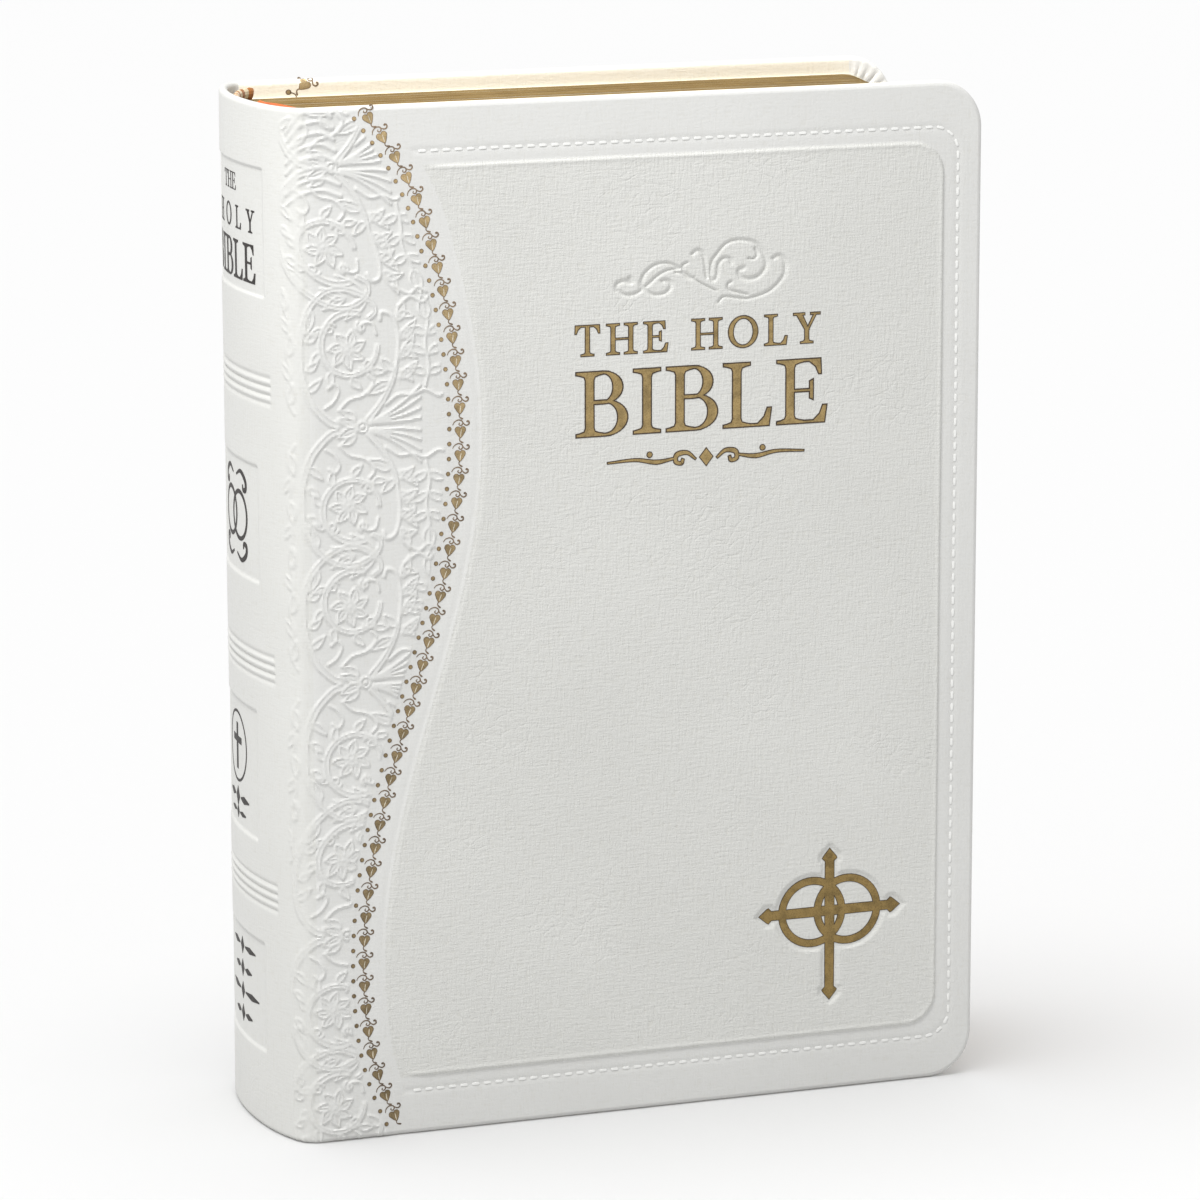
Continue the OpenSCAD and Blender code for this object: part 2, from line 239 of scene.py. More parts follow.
# ---------------------------------------------------------------- node helpers
class Paint:
    """A Principled material and a short way to add nodes to it."""

    def __init__(self, name, color, roughness, **shader):
        self.material = bpy.data.materials.new(name)
        self.material.use_nodes = True
        self.tree = self.material.node_tree
        self.shader = self.tree.nodes["Principled BSDF"]
        self.shader.inputs["Base Color"].default_value = (*color, 1)
        self.shader.inputs["Roughness"].default_value = roughness
        for key, value in shader.items():
            self.shader.inputs[key.replace("_", " ")].default_value = value

    def add(self, kind, settings=None, **inputs):
        node = self.tree.nodes.new("ShaderNode" + kind)
        for key, value in (settings or {}).items():
            setattr(node, key, value)
        for key, value in inputs.items():
            self.plug(node.inputs[key.replace("_", " ")], value)
        return node

    def plug(self, socket, value):
        if isinstance(value, bpy.types.NodeSocket):
            self.tree.links.new(value, socket)
        else:
            socket.default_value = value

    def math(self, operation, a, b=0.0):
        node = self.add("Math", {"operation": operation})
        self.plug(node.inputs[0], a)
        self.plug(node.inputs[1], b)
        return node.outputs[0]

    def total(self, one, two):
        """The sum of two (value, share) pairs."""
        return self.math("ADD", self.math("MULTIPLY", *one), self.math("MULTIPLY", *two))

    def both(self, a, b):
        """The product, which for masks is where both are 1."""
        return self.math("MULTIPLY", a, b)

    def stretch(self, vector, scale):
        node = self.add("Mapping", Vector=vector)
        node.inputs["Scale"].default_value = scale
        return node.outputs[0]

    def noise(self, vector, scale, detail=3.0, roughness=0.55, distortion=0.0):
        node = self.add(
            "TexNoise", Vector=vector, Scale=scale, Detail=detail,
            Roughness=roughness, Distortion=distortion,
        )
        return node.outputs["Fac"]

    def ramp(self, value, *stops):
        """stops are (position, colour) or (position, grey)."""
        node = self.add("ValToRGB", Fac=value)
        ramp = node.color_ramp
        while len(ramp.elements) < len(stops):
            ramp.elements.new(0.5)
        for element, (place, tone) in zip(ramp.elements, stops):
            element.position = place
            element.color = (*tone, 1) if isinstance(tone, tuple) else (tone, tone, tone, 1)
        return node.outputs["Color"]

    def mix(self, factor, a, b, blend="MIX"):
        node = self.add("Mix", {"data_type": "RGBA", "blend_type": blend})
        self.plug(node.inputs[0], factor)
        self.plug(node.inputs[6], a)
        self.plug(node.inputs[7], b)
        return node.outputs[2]

    def bump(self, height, distance, strength=1.0):
        node = self.add("Bump", Height=height)
        node.inputs["Distance"].default_value = distance
        node.inputs["Strength"].default_value = strength
        self.tree.links.new(node.outputs["Normal"], self.shader.inputs["Normal"])

    def soft(self, value, low, high):
        """From low to high over the middle of a noise's range."""
        return self.ramp(value, (0.3, low), (0.7, high))

    def multiply(self, color, other):
        return self.mix(1.0, color, other, "MULTIPLY")

    def coat(self, color=None, roughness=None):
        if color is not None:
            self.tree.links.new(color, self.shader.inputs["Base Color"])
        if roughness is not None:
            self.tree.links.new(roughness, self.shader.inputs["Roughness"])


def shade(color, by):
    return tuple(min(1, c * by) for c in color)


def object_coords(paint):
    return paint.add("TexCoord").outputs["Object"]


def flat_coords(paint):
    return paint.add("UVMap", {"uv_map": "flat"}).outputs["UV"]


# ---------------------------------------------------------------- materials
# name: (dim tone, light tone, strength of the grain)
LEATHERS = {
    "white_leather": ((0.608, 0.608, 0.582), (0.646, 0.646, 0.620), 0.95),
    "white_leather_smooth": ((0.634, 0.634, 0.616), (0.670, 0.670, 0.652), 0.32),
    "white_leather_spine": ((0.612, 0.612, 0.588), (0.646, 0.646, 0.622), 0.32),
    # The stitch marks are painted lighter than the leather round them: a painted highlight on the raised
    # pads.
    "white_leather_stitches_painted_highlight": ((0.79, 0.79, 0.77), (0.83, 0.83, 0.81), 0.2),
    "white_leather_turned": ((0.84, 0.83, 0.79), (0.88, 0.87, 0.83), 0.5),
    "cream_leather_inside": ((0.96, 0.905, 0.775), (0.985, 0.94, 0.82), 0.5),
}


def leather_paint(name):
    """White imitation leather: linen-like cross-hatched grain, pores and faint creases."""
    dim, light, strength = LEATHERS[name]
    paint = Paint(name, light, 0.42, Specular_IOR_Level=0.42)
    flat = flat_coords(paint)
    across = paint.noise(paint.stretch(flat, (0.28, 1.5, 1)), 1150, 2)
    along = paint.noise(paint.stretch(flat, (1.5, 0.24, 1)), 1150, 2)
    hatch = paint.total((across, 0.95), (along, 1.15))
    pores = paint.noise(flat, 2600, 1)
    grain = paint.total((hatch, 0.55), (pores, 0.25))
    wander = paint.add("CombineXYZ", X=paint.noise(flat, 90, 3), Y=paint.noise(flat, 110, 2))
    drift = paint.add("VectorMath", {"operation": "SCALE"}, Vector=wander.outputs[0], Scale=0.012)
    bent = paint.add("VectorMath", {"operation": "ADD"})
    paint.plug(bent.inputs[0], flat)
    paint.plug(bent.inputs[1], drift.outputs[0])
    cells = paint.add(
        "TexVoronoi", {"feature": "DISTANCE_TO_EDGE"},
        Vector=paint.stretch(bent.outputs[0], (0.8, 1.1, 1)), Scale=310.0)
    crease = paint.ramp(cells.outputs["Distance"], (0.0, 0.0), (0.12, 1.0))
    patches = paint.ramp(paint.noise(flat, 34, 2), (0.48, 0.0), (0.66, 1.0))
    crease = paint.mix(patches, (1, 1, 1, 1), crease)
    height = paint.total((grain, 1.0), (crease, 0.22))
    paint.bump(height, 0.00026, strength)
    tone = paint.soft(paint.noise(flat, 18, 4), dim, light)
    # The grain's low parts are painted a little darker and warmer than its high parts.
    grain_height_tone = paint.ramp(hatch, (0.75, (0.97, 0.965, 0.95)), (1.1, (1.0, 1.0, 1.0)))
    paint.coat(paint.multiply(tone, grain_height_tone))
    paint.coat(roughness=paint.ramp(grain, (0.3, 0.50), (0.75, 0.38)))
    return paint.material


def foil_paint(name, color, dark, roughness=0.38, metallic=0.65, tail=1.0, middle=1.0):
    """Stamped foil: brushed by the grain under it, with thin rubbed spots and clouded patches.
    tail and middle are how bright it is painted there, against the head: painted shade that
    makes the foil darker towards the tail."""
    paint = Paint(name, color, roughness, Metallic=metallic)
    where = object_coords(paint)
    speck = paint.noise(where, 3800, 2)
    tone = paint.ramp(speck, (0.3, dark), (0.46, color), (0.8, shade(color, 1.2)))
    clouds = paint.ramp(paint.noise(where, 420, 3), (0.36, 0.70), (0.58, 1.0))
    tone = paint.multiply(tone, clouds)
    # Painted shade: the foil's colour is darkened towards the tail, as tail and middle say.
    height = paint.math("DIVIDE", paint.add("SeparateXYZ", Vector=where).outputs["Z"], TALL * MM)
    fade = paint.ramp(height, (0.06, tail), (0.5, middle), (0.94, 1.0))
    paint.coat(paint.multiply(tone, fade), paint.soft(speck, roughness + 0.18, roughness))
    paint.bump(paint.noise(where, 1400, 2), 0.00008, 0.6)
    return paint.material


def gilt_paint():
    """Gilt page edges: thin leaf lines, slightly uneven colour."""
    paint = Paint("gilt_edges", (0.52, 0.37, 0.20), 0.42, Metallic=0.35)
    where = object_coords(paint)
    leaves = paint.noise(paint.stretch(where, (0.01, 1, 0.01)), 5200, 3, 0.7)
    bands = paint.noise(paint.stretch(where, (0.02, 1, 0.02)), 620, 3, 0.6)
    smear = paint.noise(paint.stretch(where, (1, 0.3, 1)), 130, 3)
    tone = paint.ramp(
        paint.total((leaves, 0.55), (bands, 0.45)),
        (0.36, (0.15, 0.09, 0.025)), (0.50, (0.29, 0.185, 0.055)), (0.62, (0.42, 0.29, 0.11)))
    cloudy = paint.ramp(smear, (0.35, (0.23, 0.145, 0.04)), (0.65, (0.40, 0.275, 0.10)))
    paint.coat(paint.mix(0.25, tone, cloudy), paint.soft(leaves, 0.52, 0.36))
    paint.bump(leaves, 0.00012, 0.8)
    return paint.material


def paper_paint(name, color):
    """Thin book paper: soft fibre mottle and a faint cloudiness."""
    paint = Paint(name, color, 0.72, Specular_IOR_Level=0.3)
    where = object_coords(paint)
    fibre = paint.noise(where, 1800, 4, 0.65)
    cloud = paint.noise(where, 60, 3)
    mottle, cloudy = (paint.soft(value, shade(color, 0.95), color) for value in (fibre, cloud))
    paint.coat(paint.mix(0.5, mottle, cloudy))
    paint.bump(fibre, 0.00006, 0.5)
    return paint.material


# The printed area of a leaf, the gap between its columns, and the distance between lines
PRINT_LEFT, PRINT_RIGHT = 14.0, PAGE_END - 12.0
PRINT_LOW, PRINT_HIGH = 20.0, 214.0
PRINT_GAP = 4.0
PRINT_LINE = 3.4


def printed_paint(name, color, ink, columns=2):
    """Paper with grey columns of broken lines, as print looks from a distance."""
    paint = Paint(name, color, 0.72)
    flat = flat_coords(paint)
    split = paint.add("SeparateXYZ", Vector=flat)
    u, z = split.outputs[0], split.outputs[1]
    middle = (PRINT_LEFT + PRINT_RIGHT) / 2

    def between(value, low, high):
        above = paint.math("GREATER_THAN", value, low)
        return paint.both(above, paint.math("LESS_THAN", value, high))

    inside = between(z, PRINT_LOW * MM, PRINT_HIGH * MM)
    if columns == 2:
        left_column = between(u, PRINT_LEFT * MM, (middle - PRINT_GAP / 2) * MM)
        right_column = between(u, (middle + PRINT_GAP / 2) * MM, PRINT_RIGHT * MM)
        body = paint.math("ADD", left_column, right_column)
    else:
        body = between(u, PRINT_LEFT * MM, PRINT_RIGHT * MM)
    row = paint.math("FRACT", paint.both(z, 1 / (PRINT_LINE * MM)))
    stroke = between(row, 0.22, 0.62)
    words = paint.noise(paint.stretch(flat, (1, 1.9, 1)), 420, 1)
    words = paint.math("GREATER_THAN", words, 0.43)
    letters = paint.math("GREATER_THAN", paint.noise(flat, 2600, 1), 0.42)
    mask = paint.both(inside, body)
    for part in (stroke, words, letters):
        mask = paint.both(mask, part)
    fibre = paint.noise(flat, 1800, 4, 0.65)
    paint.coat(paint.mix(mask, paint.soft(fibre, shade(color, 0.96), color), (*ink, 1)))
    paint.bump(fibre, 0.00006, 0.5)
    return paint.material


def cloth_paint(name, color, pitch):
    """Plain weave of threads pitch apart, in metres."""
    paint = Paint(name, color, 0.8, Sheen_Weight=0.3)
    where = object_coords(paint)
    waves = []
    for scale in ((1, 1, 0), (0, 0, 1)):
        wave = paint.add(
            "TexWave", {"wave_type": "BANDS", "bands_direction": "DIAGONAL"},
            Vector=paint.stretch(where, scale), Scale=0.32 / pitch)
        waves.append(wave.outputs["Fac"])
    weave = paint.both(*waves)
    fuzz = paint.noise(where, 3000, 3)
    height = paint.total((weave, 1.0), (fuzz, 0.3))
    paint.coat(paint.ramp(height, (0.1, shade(color, 0.72)), (0.8, color)))
    paint.bump(height, pitch * 0.25, 0.8)
    return paint.material


def ribbon_paint():
    """Satin ribbon: fine ribs along its length and a soft sheen."""
    paint = Paint("ribbon_satin", (0.70, 0.13, 0.012), 0.6, Sheen_Weight=0.08, Specular_IOR_Level=0.3)
    flat = flat_coords(paint)
    ribs = paint.noise(paint.stretch(flat, (1, 0.05, 1)), 9000, 2)
    slub = paint.noise(flat, 700, 2)
    tone = paint.total((ribs, 0.7), (slub, 0.3))
    paint.coat(paint.soft(tone, (0.54, 0.085, 0.008), (0.74, 0.15, 0.015)))
    paint.bump(ribs, 0.00008, 0.8)
    return paint.material


def board_paint(name, color):
    """Grey-brown pulp board with flecks."""
    paint = Paint(name, color, 0.9)
    where = object_coords(paint)
    pulp = paint.noise(where, 900, 5, 0.7)
    fleck = paint.ramp(paint.noise(where, 2400, 1), (0.66, (0, 0, 0)), (0.72, (1, 1, 1)))
    base = paint.soft(pulp, shade(color, 0.8), color)
    paint.coat(paint.mix(fleck, base, (0.25, 0.2, 0.15, 1)))
    paint.bump(pulp, 0.0001, 0.7)
    return paint.material


# ---------------------------------------------------------------- lines and curves, in mm
def run_along(*columns):
    """The distance along a line from its start to each of its points."""
    steps = np.linalg.norm([np.diff(column) for column in columns], axis=0)
    return np.concatenate([[0], np.cumsum(steps)])


def sideways(line):
    """Unit vectors to the left of a line, at each of its points."""
    way = np.gradient(line, axis=0)
    side = np.stack([-way[:, 1], way[:, 0]], axis=1)
    return side / (np.linalg.norm(side, axis=1, keepdims=True) + 1e-9)


def along(points, gap):
    """The same line with points gap apart."""
    points = np.asarray(points, float)
    run = run_along(*points.T)
    count = max(2, int(run[-1] / gap) + 1)
    where = np.linspace(0, run[-1], count)
    return np.stack([np.interp(where, run, column) for column in points.T], axis=1)


def smooth(points, steps=8):
    """Catmull-Rom curve through a few points."""
    points = np.asarray(points, float)
    ends = np.vstack([2 * points[0] - points[1], points, 2 * points[-1] - points[-2]])
    out = []
    for a, b, c, d in zip(ends, ends[1:], ends[2:], ends[3:]):
        for t in np.arange(steps) / steps:
            out.append(0.5 * (2 * b + (c - a) * t + (2 * a - 5 * b + 4 * c - d) * t**2
                              + (3 * b - a - 3 * c + d) * t**3))
    out.append(points[-1])
    return np.array(out)


def spiral(cu, cz, start_r, end_r, start, turns, steps=48):
    """Spiral about (cu, cz): from start_r at angle start (degrees) to end_r, turns later."""
    t = np.linspace(0, 1, steps)
    angle = math.radians(start) + math.tau * turns * t
    radius = start_r + (end_r - start_r) * t
    return np.stack([cu + radius * np.cos(angle), cz + radius * np.sin(angle)], axis=1)


def turned(points, cu, cz, angle, size=1.0):
    """Local points moved to (cu, cz), turned by angle degrees and scaled."""
    points = np.asarray(points, float)
    c, s = math.cos(math.radians(angle)), math.sin(math.radians(angle))
    x, y = points[:, 0] * size, points[:, 1] * size
    return np.stack([cu + x * c - y * s, cz + x * s + y * c], axis=1)


# ---------------------------------------------------------------- relief canvas
class Relief:
    """Heights over a (u, z) field, drawn with soft round strokes, in millimetres."""

    def __init__(self, low_u, high_u, low_z, high_z, step):
        self.low_u, self.low_z, self.step = low_u, low_z, step
        self.us = np.arange(low_u, high_u + step, step)
        self.zs = np.arange(low_z, high_z + step, step)
        self.field = np.zeros((len(self.us), len(self.zs)))

    def stroke(self, points, radius, height):
        """A rounded ridge along a line; radius and height may be (start, end) pairs."""
        line = along(points, self.step)
        count = len(line)
        radii, highs = (
            np.linspace(*value, count) if isinstance(value, tuple) else np.full(count, value)
            for value in (radius, height))
        for (u, z), r, h in zip(line, radii, highs):
            i0 = max(0, int((u - r - self.low_u) / self.step))
            i1 = min(len(self.us), int((u + r - self.low_u) / self.step) + 2)
            j0 = max(0, int((z - r - self.low_z) / self.step))
            j1 = min(len(self.zs), int((z + r - self.low_z) / self.step) + 2)
            if i0 >= i1 or j0 >= j1:
                continue
            du = (self.us[i0:i1, None] - u) / r
            dz = (self.zs[None, j0:j1] - z) / r
            bump = h * np.clip(1 - du * du - dz * dz, 0, 1) ** 0.8
            window = self.field[i0:i1, j0:j1]
            np.maximum(window, bump, out=window)

    def dot(self, u, z, radius, height):
        self.stroke([(u, z), (u + 0.01, z)], radius, height)

    def covers(self, u, z):
        low_u, high_u, low_z, high_z = self.us[0], self.us[-1], self.zs[0], self.zs[-1]
        return (u > low_u) & (u < high_u) & (z > low_z) & (z < high_z)

    def at(self, u, z):
        """Heights at any points, by bilinear interpolation."""
        x = np.clip((np.asarray(u) - self.low_u) / self.step, 0, len(self.us) - 1.001)
        y = np.clip((np.asarray(z) - self.low_z) / self.step, 0, len(self.zs) - 1.001)
        i, j = x.astype(int), y.astype(int)
        fx, fy = x - i, y - j
        f = self.field
        return ((f[i, j] * (1 - fx) + f[i + 1, j] * fx) * (1 - fy)
                + (f[i, j + 1] * (1 - fx) + f[i + 1, j + 1] * fx) * fy)


# The relief's lines, how far the floral strip can reach, and the knots of its vine
RIDGE_R = 0.38
RIDGE_H = 0.34
FLORAL_LOW_U, FLORAL_HIGH_U = -12, 46
KNOT_PITCH = 57.8
KNOT_FIRST = 48.4
KNOT_U = 12.0


def draw_leaf(canvas, u, z, angle, length, width, bend):
    """An acanthus lobe: two outlines that meet at the tip, with a midrib if it is wide."""
    t = np.linspace(0, 1, 14)
    mid = np.stack([length * t, bend * length * t * t], axis=1)
    half = width / 2 * np.sin(np.pi * t**0.8)
    canvas.stroke(turned(mid, u, z, angle), (width * 0.42, width * 0.15), (0.10, 0.05))
    for side in (-1, 1):
        edge = mid + np.stack([np.zeros_like(t), side * half], axis=1)
        radius, height = (RIDGE_R * 0.9, RIDGE_R * 0.7), (RIDGE_H * 0.8, RIDGE_H)
        canvas.stroke(turned(edge, u, z, angle), radius, height)
    if width > 1.7:
        canvas.stroke(turned(mid[2:10], u, z, angle), RIDGE_R * 0.65, RIDGE_H * 0.7)


def draw_vine(canvas, points, width):
    """A stem: two ridges along its edges and a soft body between them."""
    line = along(points, 0.4)
    edge = sideways(line) * np.linspace(width / 2, width * 0.28, len(line))[:, None]
    canvas.stroke(line, (width * 0.62, width * 0.4), RIDGE_H * 0.5)
    canvas.stroke(line + edge, RIDGE_R * 0.8, RIDGE_H)
    canvas.stroke(line - edge, RIDGE_R * 0.8, RIDGE_H)


def vine_shift(z):
    """How far the vine's axis moves towards the spine where the border comes close."""
    return -6.4 * smoothstep((z - 184) / 28) - 5.0 * smoothstep((82 - z) / 34)


class VineUnit:
    """Plants from a knot of the vine to half way to the next; place() maps their (u, dz)."""

    def __init__(self, canvas, place):
        self.canvas, self.place = canvas, place

    def ridge(self, points, radius=RIDGE_R, height=RIDGE_H):
        self.canvas.stroke(self.place(smooth(points)), radius, height)

    def stem(self, points, width):
        draw_vine(self.canvas, self.place(points), width)

    def leaf(self, u, dz, angle, length, width, bend=0.0):
        tip = (u + math.cos(math.radians(angle)) * length, dz + math.sin(math.radians(angle)) * length)
        (u0, z0), (u1, z1) = self.place([(u, dz), tip])
        turn = math.degrees(math.atan2(z1 - z0, u1 - u0))
        hand = 1 if self.place([(u, dz + 1)])[0][1] > z0 else -1
        draw_leaf(self.canvas, u0, z0, turn, math.hypot(u1 - u0, z1 - z0), width, bend * hand)

    def scroll(self):
        """The long C of the stem, its last leaf, and the open scroll that it turns into."""
        self.stem(smooth([(6.6, 0.7), (4.2, 1.6), (0.4, 5.8), (-1.9, 12.6), (-2.0, 20), (0.8, 26.6),
                          (5.6, 30.4), (10.4, 30.8), (14.8, 28.6), (15.8, 25.8), (14.0, 24.2)]), 1.2)
        self.stem(spiral(9.6, 18.2, 7.6, 6.0, 70, 0.80), 1.1)
        self.ridge([(15.4, 20.6), (14.6, 23.0), (12.2, 23.0), (11.8, 21.2)])

    def flower(self):
        """The flower in the scroll, with tendrils and small leaves round it."""
        flower_u, flower_dz = 8.6, 17.4
        for k in range(7):
            u, dz = flower_u + 0.9 * math.cos(0.9 * k), flower_dz + 0.9 * math.sin(0.9 * k)
            self.leaf(u, dz, 51.4 * k + 18, 3.6, 2.0, 0.2)
        self.canvas.dot(*self.place([(flower_u, flower_dz)])[0], 0.9, RIDGE_H)
        for cu, cz, r, start in ((13.2, 13.8, 1.7, 200), (4.8, 22.2, 1.5, 30), (12.0, 22.4, 1.2, 120)):
            tendril = self.place(spiral(cu, cz, r, 0.35, start, 1.2))
            self.canvas.stroke(tendril, (RIDGE_R, 0.32), RIDGE_H * 0.9)
        for k in range(5):
            angle = 150 + 40 * k
            root = turned([(7.2, 0)], 9.6, 18.2, angle)[0]
            self.leaf(*root, angle + 24, 3.2, 1.5, 0.3)

    def filling(self):
        """Leaves and tendrils that fill the C."""
        self.leaf(14.6, 28.4, 208, 7.2, 2.4, 0.18)
        self.leaf(9.8, 28.8, 190, 5.6, 2.0, 0.24)
        self.leaf(1.2, 26.6, 262, 5.4, 1.8, -0.2)
        for dz, length in ((8.6, 4.2), (13.2, 3.2), (19.6, 3.4)):
            self.leaf(-0.7, dz, 22, length, 1.5, 0.3)
        self.ridge([(3.4, 4.6), (5.4, 6.0), (6.6, 8.4), (5.4, 10.0), (4.2, 9.0)])
        self.ridge([(6.6, 4.0), (9.0, 6.2), (12.4, 7.2), (14.6, 9.8), (13.4, 11.6)])

    def fronds(self):
        """The knot's leaves, and the stem that rises on the right with fronds to the border."""
        self.leaf(10.8, 0.5, 166, 4.8, 1.9, -0.1)
        self.leaf(10.4, 1.8, 138, 4.0, 1.5, 0.2)
        self.stem(smooth([(13.2, 1.4), (16.4, 5.2), (18.8, 9.6), (19.8, 13.0)]), 1.0)
        self.ridge([(19.8, 12.8), (20.4, 17), (20.3, 21.4), (19.2, 24.6), (17.2, 25.4), (16.6, 23.8)],
                   (0.42, 0.5))
        self.leaf(18.6, 9.6, 196, 5.8, 2.2, 0.12)
        self.leaf(19.4, 12.4, 150, 4.0, 1.7, -0.2)
        for dz, angle, length in ((10.6, 24, 5.2), (15.0, 40, 5.8), (19.4, 30, 5.4), (23.4, 52, 5.0)):
            self.leaf(20.6, dz, angle, length, 2.0, 0.28)
            self.leaf(20.8, dz + 1.4, angle - 46, length * 0.7, 1.4, -0.3)

    def plume(self):
        """The plume that reaches for the border."""
        radius = (0.42, 0.36)
        for tip, lift in ((1.4, 0.3), (3.6, 1.2), (6.0, 2.3), (8.6, 3.4)):
            root = [(13.8, 0.5 + lift * 0.2), (17.4, 0.6 + lift * 0.6)]
            self.ridge(root + [(21.6, tip * 0.62), (25.4, tip)], radius)
        self.ridge([(17.4, 4.8), (20.4, 6.8), (23.6, 6.6), (26.4, 7.6), (29.2, 6.2), (31, 6.4)], radius)

    def column(self):
        """A lesser column of plants where the strip is wide."""
        self.ridge([(26.6, 8.4), (27.4, 13), (26.6, 18), (27.4, 23)])
        for dz, size in ((11.0, 4.2), (15.6, 4.8), (20.0, 4.2)):
            for side in (-1, 1):
                self.leaf(27.0 + side * 0.4, dz, 90 - side * 50, size, 1.7, -0.3 * side)
        self.leaf(27.2, 23.4, 90, 5.4, 2.6)
        self.ridge([(21.4, 26.6), (24.6, 28.6), (27.0, 27.2), (29.4, 28.6), (32.2, 26.8)], 0.44)

    def feathers(self):
        """Feathery leaves that lie over the spine's shoulder."""
        self.ridge([(-3.6, 3.4), (-5.6, 7.4), (-4.4, 12.4), (-5.8, 17.2), (-4.4, 22.4), (-5.4, 27.6)],
                   0.36, RIDGE_H * 0.7)
        for dz, angle in ((5.6, 62), (11.0, 108), (16.4, 66), (21.6, 112), (26.4, 74)):
            self.leaf(-5.0, dz, angle, 4.6, 1.7, 0.3)

    def draw(self):
        for plant in (self.scroll, self.flower, self.filling, self.fronds,
                      self.plume, self.column, self.feathers):
            plant()


def draw_floral_strip():
    """The embossed strip from the spine's shoulder to the border of hearts."""
    canvas = Relief(FLORAL_LOW_U, FLORAL_HIGH_U, -2, TALL + 2, 0.16)
    for knot in range(-1, 5):
        middle = KNOT_FIRST + KNOT_PITCH * knot
        for hand in (-1, 1):

            def place(points, middle=middle, hand=hand):
                points = np.asarray(points, float)
                z = middle + hand * points[:, 1]
                return np.stack([points[:, 0] + vine_shift(z), z], axis=1)

            VineUnit(canvas, place).draw()
        u = KNOT_U + float(vine_shift(middle))
        canvas.stroke(spiral(u, middle, 1.15, 1.15, 0, 1), RIDGE_R * 0.7, RIDGE_H)
        canvas.dot(u, middle, 0.6, RIDGE_H * 1.1)
    for k in range(8):
        rise = 2.5 * k
        frond = [(-5.0, 213.5 + 0.9 * rise), (-1.5, 216 + rise)]
        frond += [(3.0, 217 + rise), (7.6 - 0.3 * k, 215.5 + rise)]
        canvas.stroke(smooth(frond), (0.34, 0.56), RIDGE_H)
    # the strip fades out at the border and on the spine's shoulder, and is faint in the joint
    u, z = canvas.us[:, None], canvas.zs[None, :]
    canvas.field *= smoothstep((border_u(z) - 3.4 - u) / 0.6)
    canvas.field *= smoothstep((u + 7.4) / 1.4)
    canvas.field *= 0.35 + 0.65 * smoothstep((np.abs(u + 2.6) - 0.2) / 0.9)
    return canvas


def draw_flourish():
    """The blind-stamped scroll above the title, as depths."""
    canvas = Relief(66, 118, 182, 208, 0.15)
    # (points, pen radius at the start and the end)
    strokes = (
        ([(94.3, 197), (97.6, 200.5), (101.2, 201.2), (105, 200), (107.3, 196), (106, 193.2),
          (103.4, 192.2), (101.2, 192.8), (100.6, 194.2), (101.8, 194.8)], (0.45, 0.7)),
        ([(104.6, 199), (105.1, 197.8), (104.4, 196.8), (102.9, 196.9)], (0.5, 0.3)),
        ([(109, 196.6), (110.4, 197.2), (111.8, 195.6), (111.7, 193), (110, 190.8), (107.4, 189),
          (103.2, 187.9), (100.2, 188.1), (97.2, 188.6), (95.8, 187.4)], (0.6, 0.4)),
        ([(102.8, 188.7), (100.3, 189.4), (98.2, 190.1), (98.1, 191.4), (98.8, 191.8)], (0.35, 0.45)),
        ([(89.5, 198.6), (90.8, 199.4), (92, 198.4), (92.6, 196), (93, 193)], (0.55, 0.45)),
        ([(94.4, 197.2), (93.9, 195.3), (93.9, 193.2), (94.7, 192.3), (95.5, 193.6), (95.7, 195.8),
          (96.9, 197.2), (98.6, 197), (98.9, 196)], (0.45, 0.55)),
        ([(89.8, 193.2), (88.6, 193.3), (86.9, 194.4), (85.4, 194.6)], (0.5, 0.35)),
        ([(86.6, 195.5), (83.7, 196.8), (80.8, 196.6), (78.4, 195), (77.4, 192.9),
          (77.7, 191.4)], (0.4, 0.6)),
        ([(86, 195.4), (83.6, 195.2), (81.4, 194.2), (79.4, 192.6), (77.6, 191.2), (75.6, 190.2),
          (73.3, 190.2), (71.6, 191.4), (71.6, 192.7), (73.2, 193.3), (75, 192.8),
          (74.6, 193.9)], (0.4, 0.65)),
        ([(78.2, 191.2), (79.6, 190.1), (81.4, 189.8), (83.4, 190.3), (84.4, 191.7), (83.7, 192.8),
          (82.4, 192.9)], (0.5, 0.6)),
        ([(87.2, 194.8), (89.8, 193), (92.4, 191.4), (95.2, 190)], 0.3),
        ([(87.2, 195.1), (87.2, 196.2), (88.3, 196.7)], 0.4),
    )
    for points, radius in strokes:
        canvas.stroke(smooth(points), radius, DEBOSS)
    return canvas


def emblem_reach(u, z):
    """Distance outside the emblem's outline, with the rings taken as full discs."""
    x, y = np.abs(u - EMBLEM[0]), z - EMBLEM[1]
    reach = np.hypot(x - RING_APART / 2, y) - RING_R
    reach = np.minimum(reach, np.maximum(x - ARM_SIDE + POINT_W * 0.6, np.abs(y) - BAR_W / 2))
    stem = np.maximum(y - ARM_TOP + POINT_W * 0.6, -y - ARM_LOW + POINT_W * 0.6)
    reach = np.minimum(reach, np.maximum(stem, x - BAR_W / 2))
    tips = ((x, ARM_SIDE, np.abs(y)), (y, ARM_TOP, x), (-y, ARM_LOW, x))
    for way, length, side in tips:
        back = length - POINT_W * 0.62
        slope = (way + side * 0.95 - length) * 0.72
        reach = np.minimum(reach, np.maximum(slope, np.maximum(back - way, side - POINT_W / 2)))
    return reach


def draw_emblem_hollow():
    """The sunk ground that the emblem is stamped on, as depths."""
    canvas = Relief(EMBLEM[0] - 24, EMBLEM[0] + 24, EMBLEM[1] - 28, EMBLEM[1] + 22, 0.16)
    reach = emblem_reach(canvas.us[:, None], canvas.zs[None, :])
    canvas.field = DEBOSS * smoothstep((1.2 - reach) / 0.45)
    return canvas


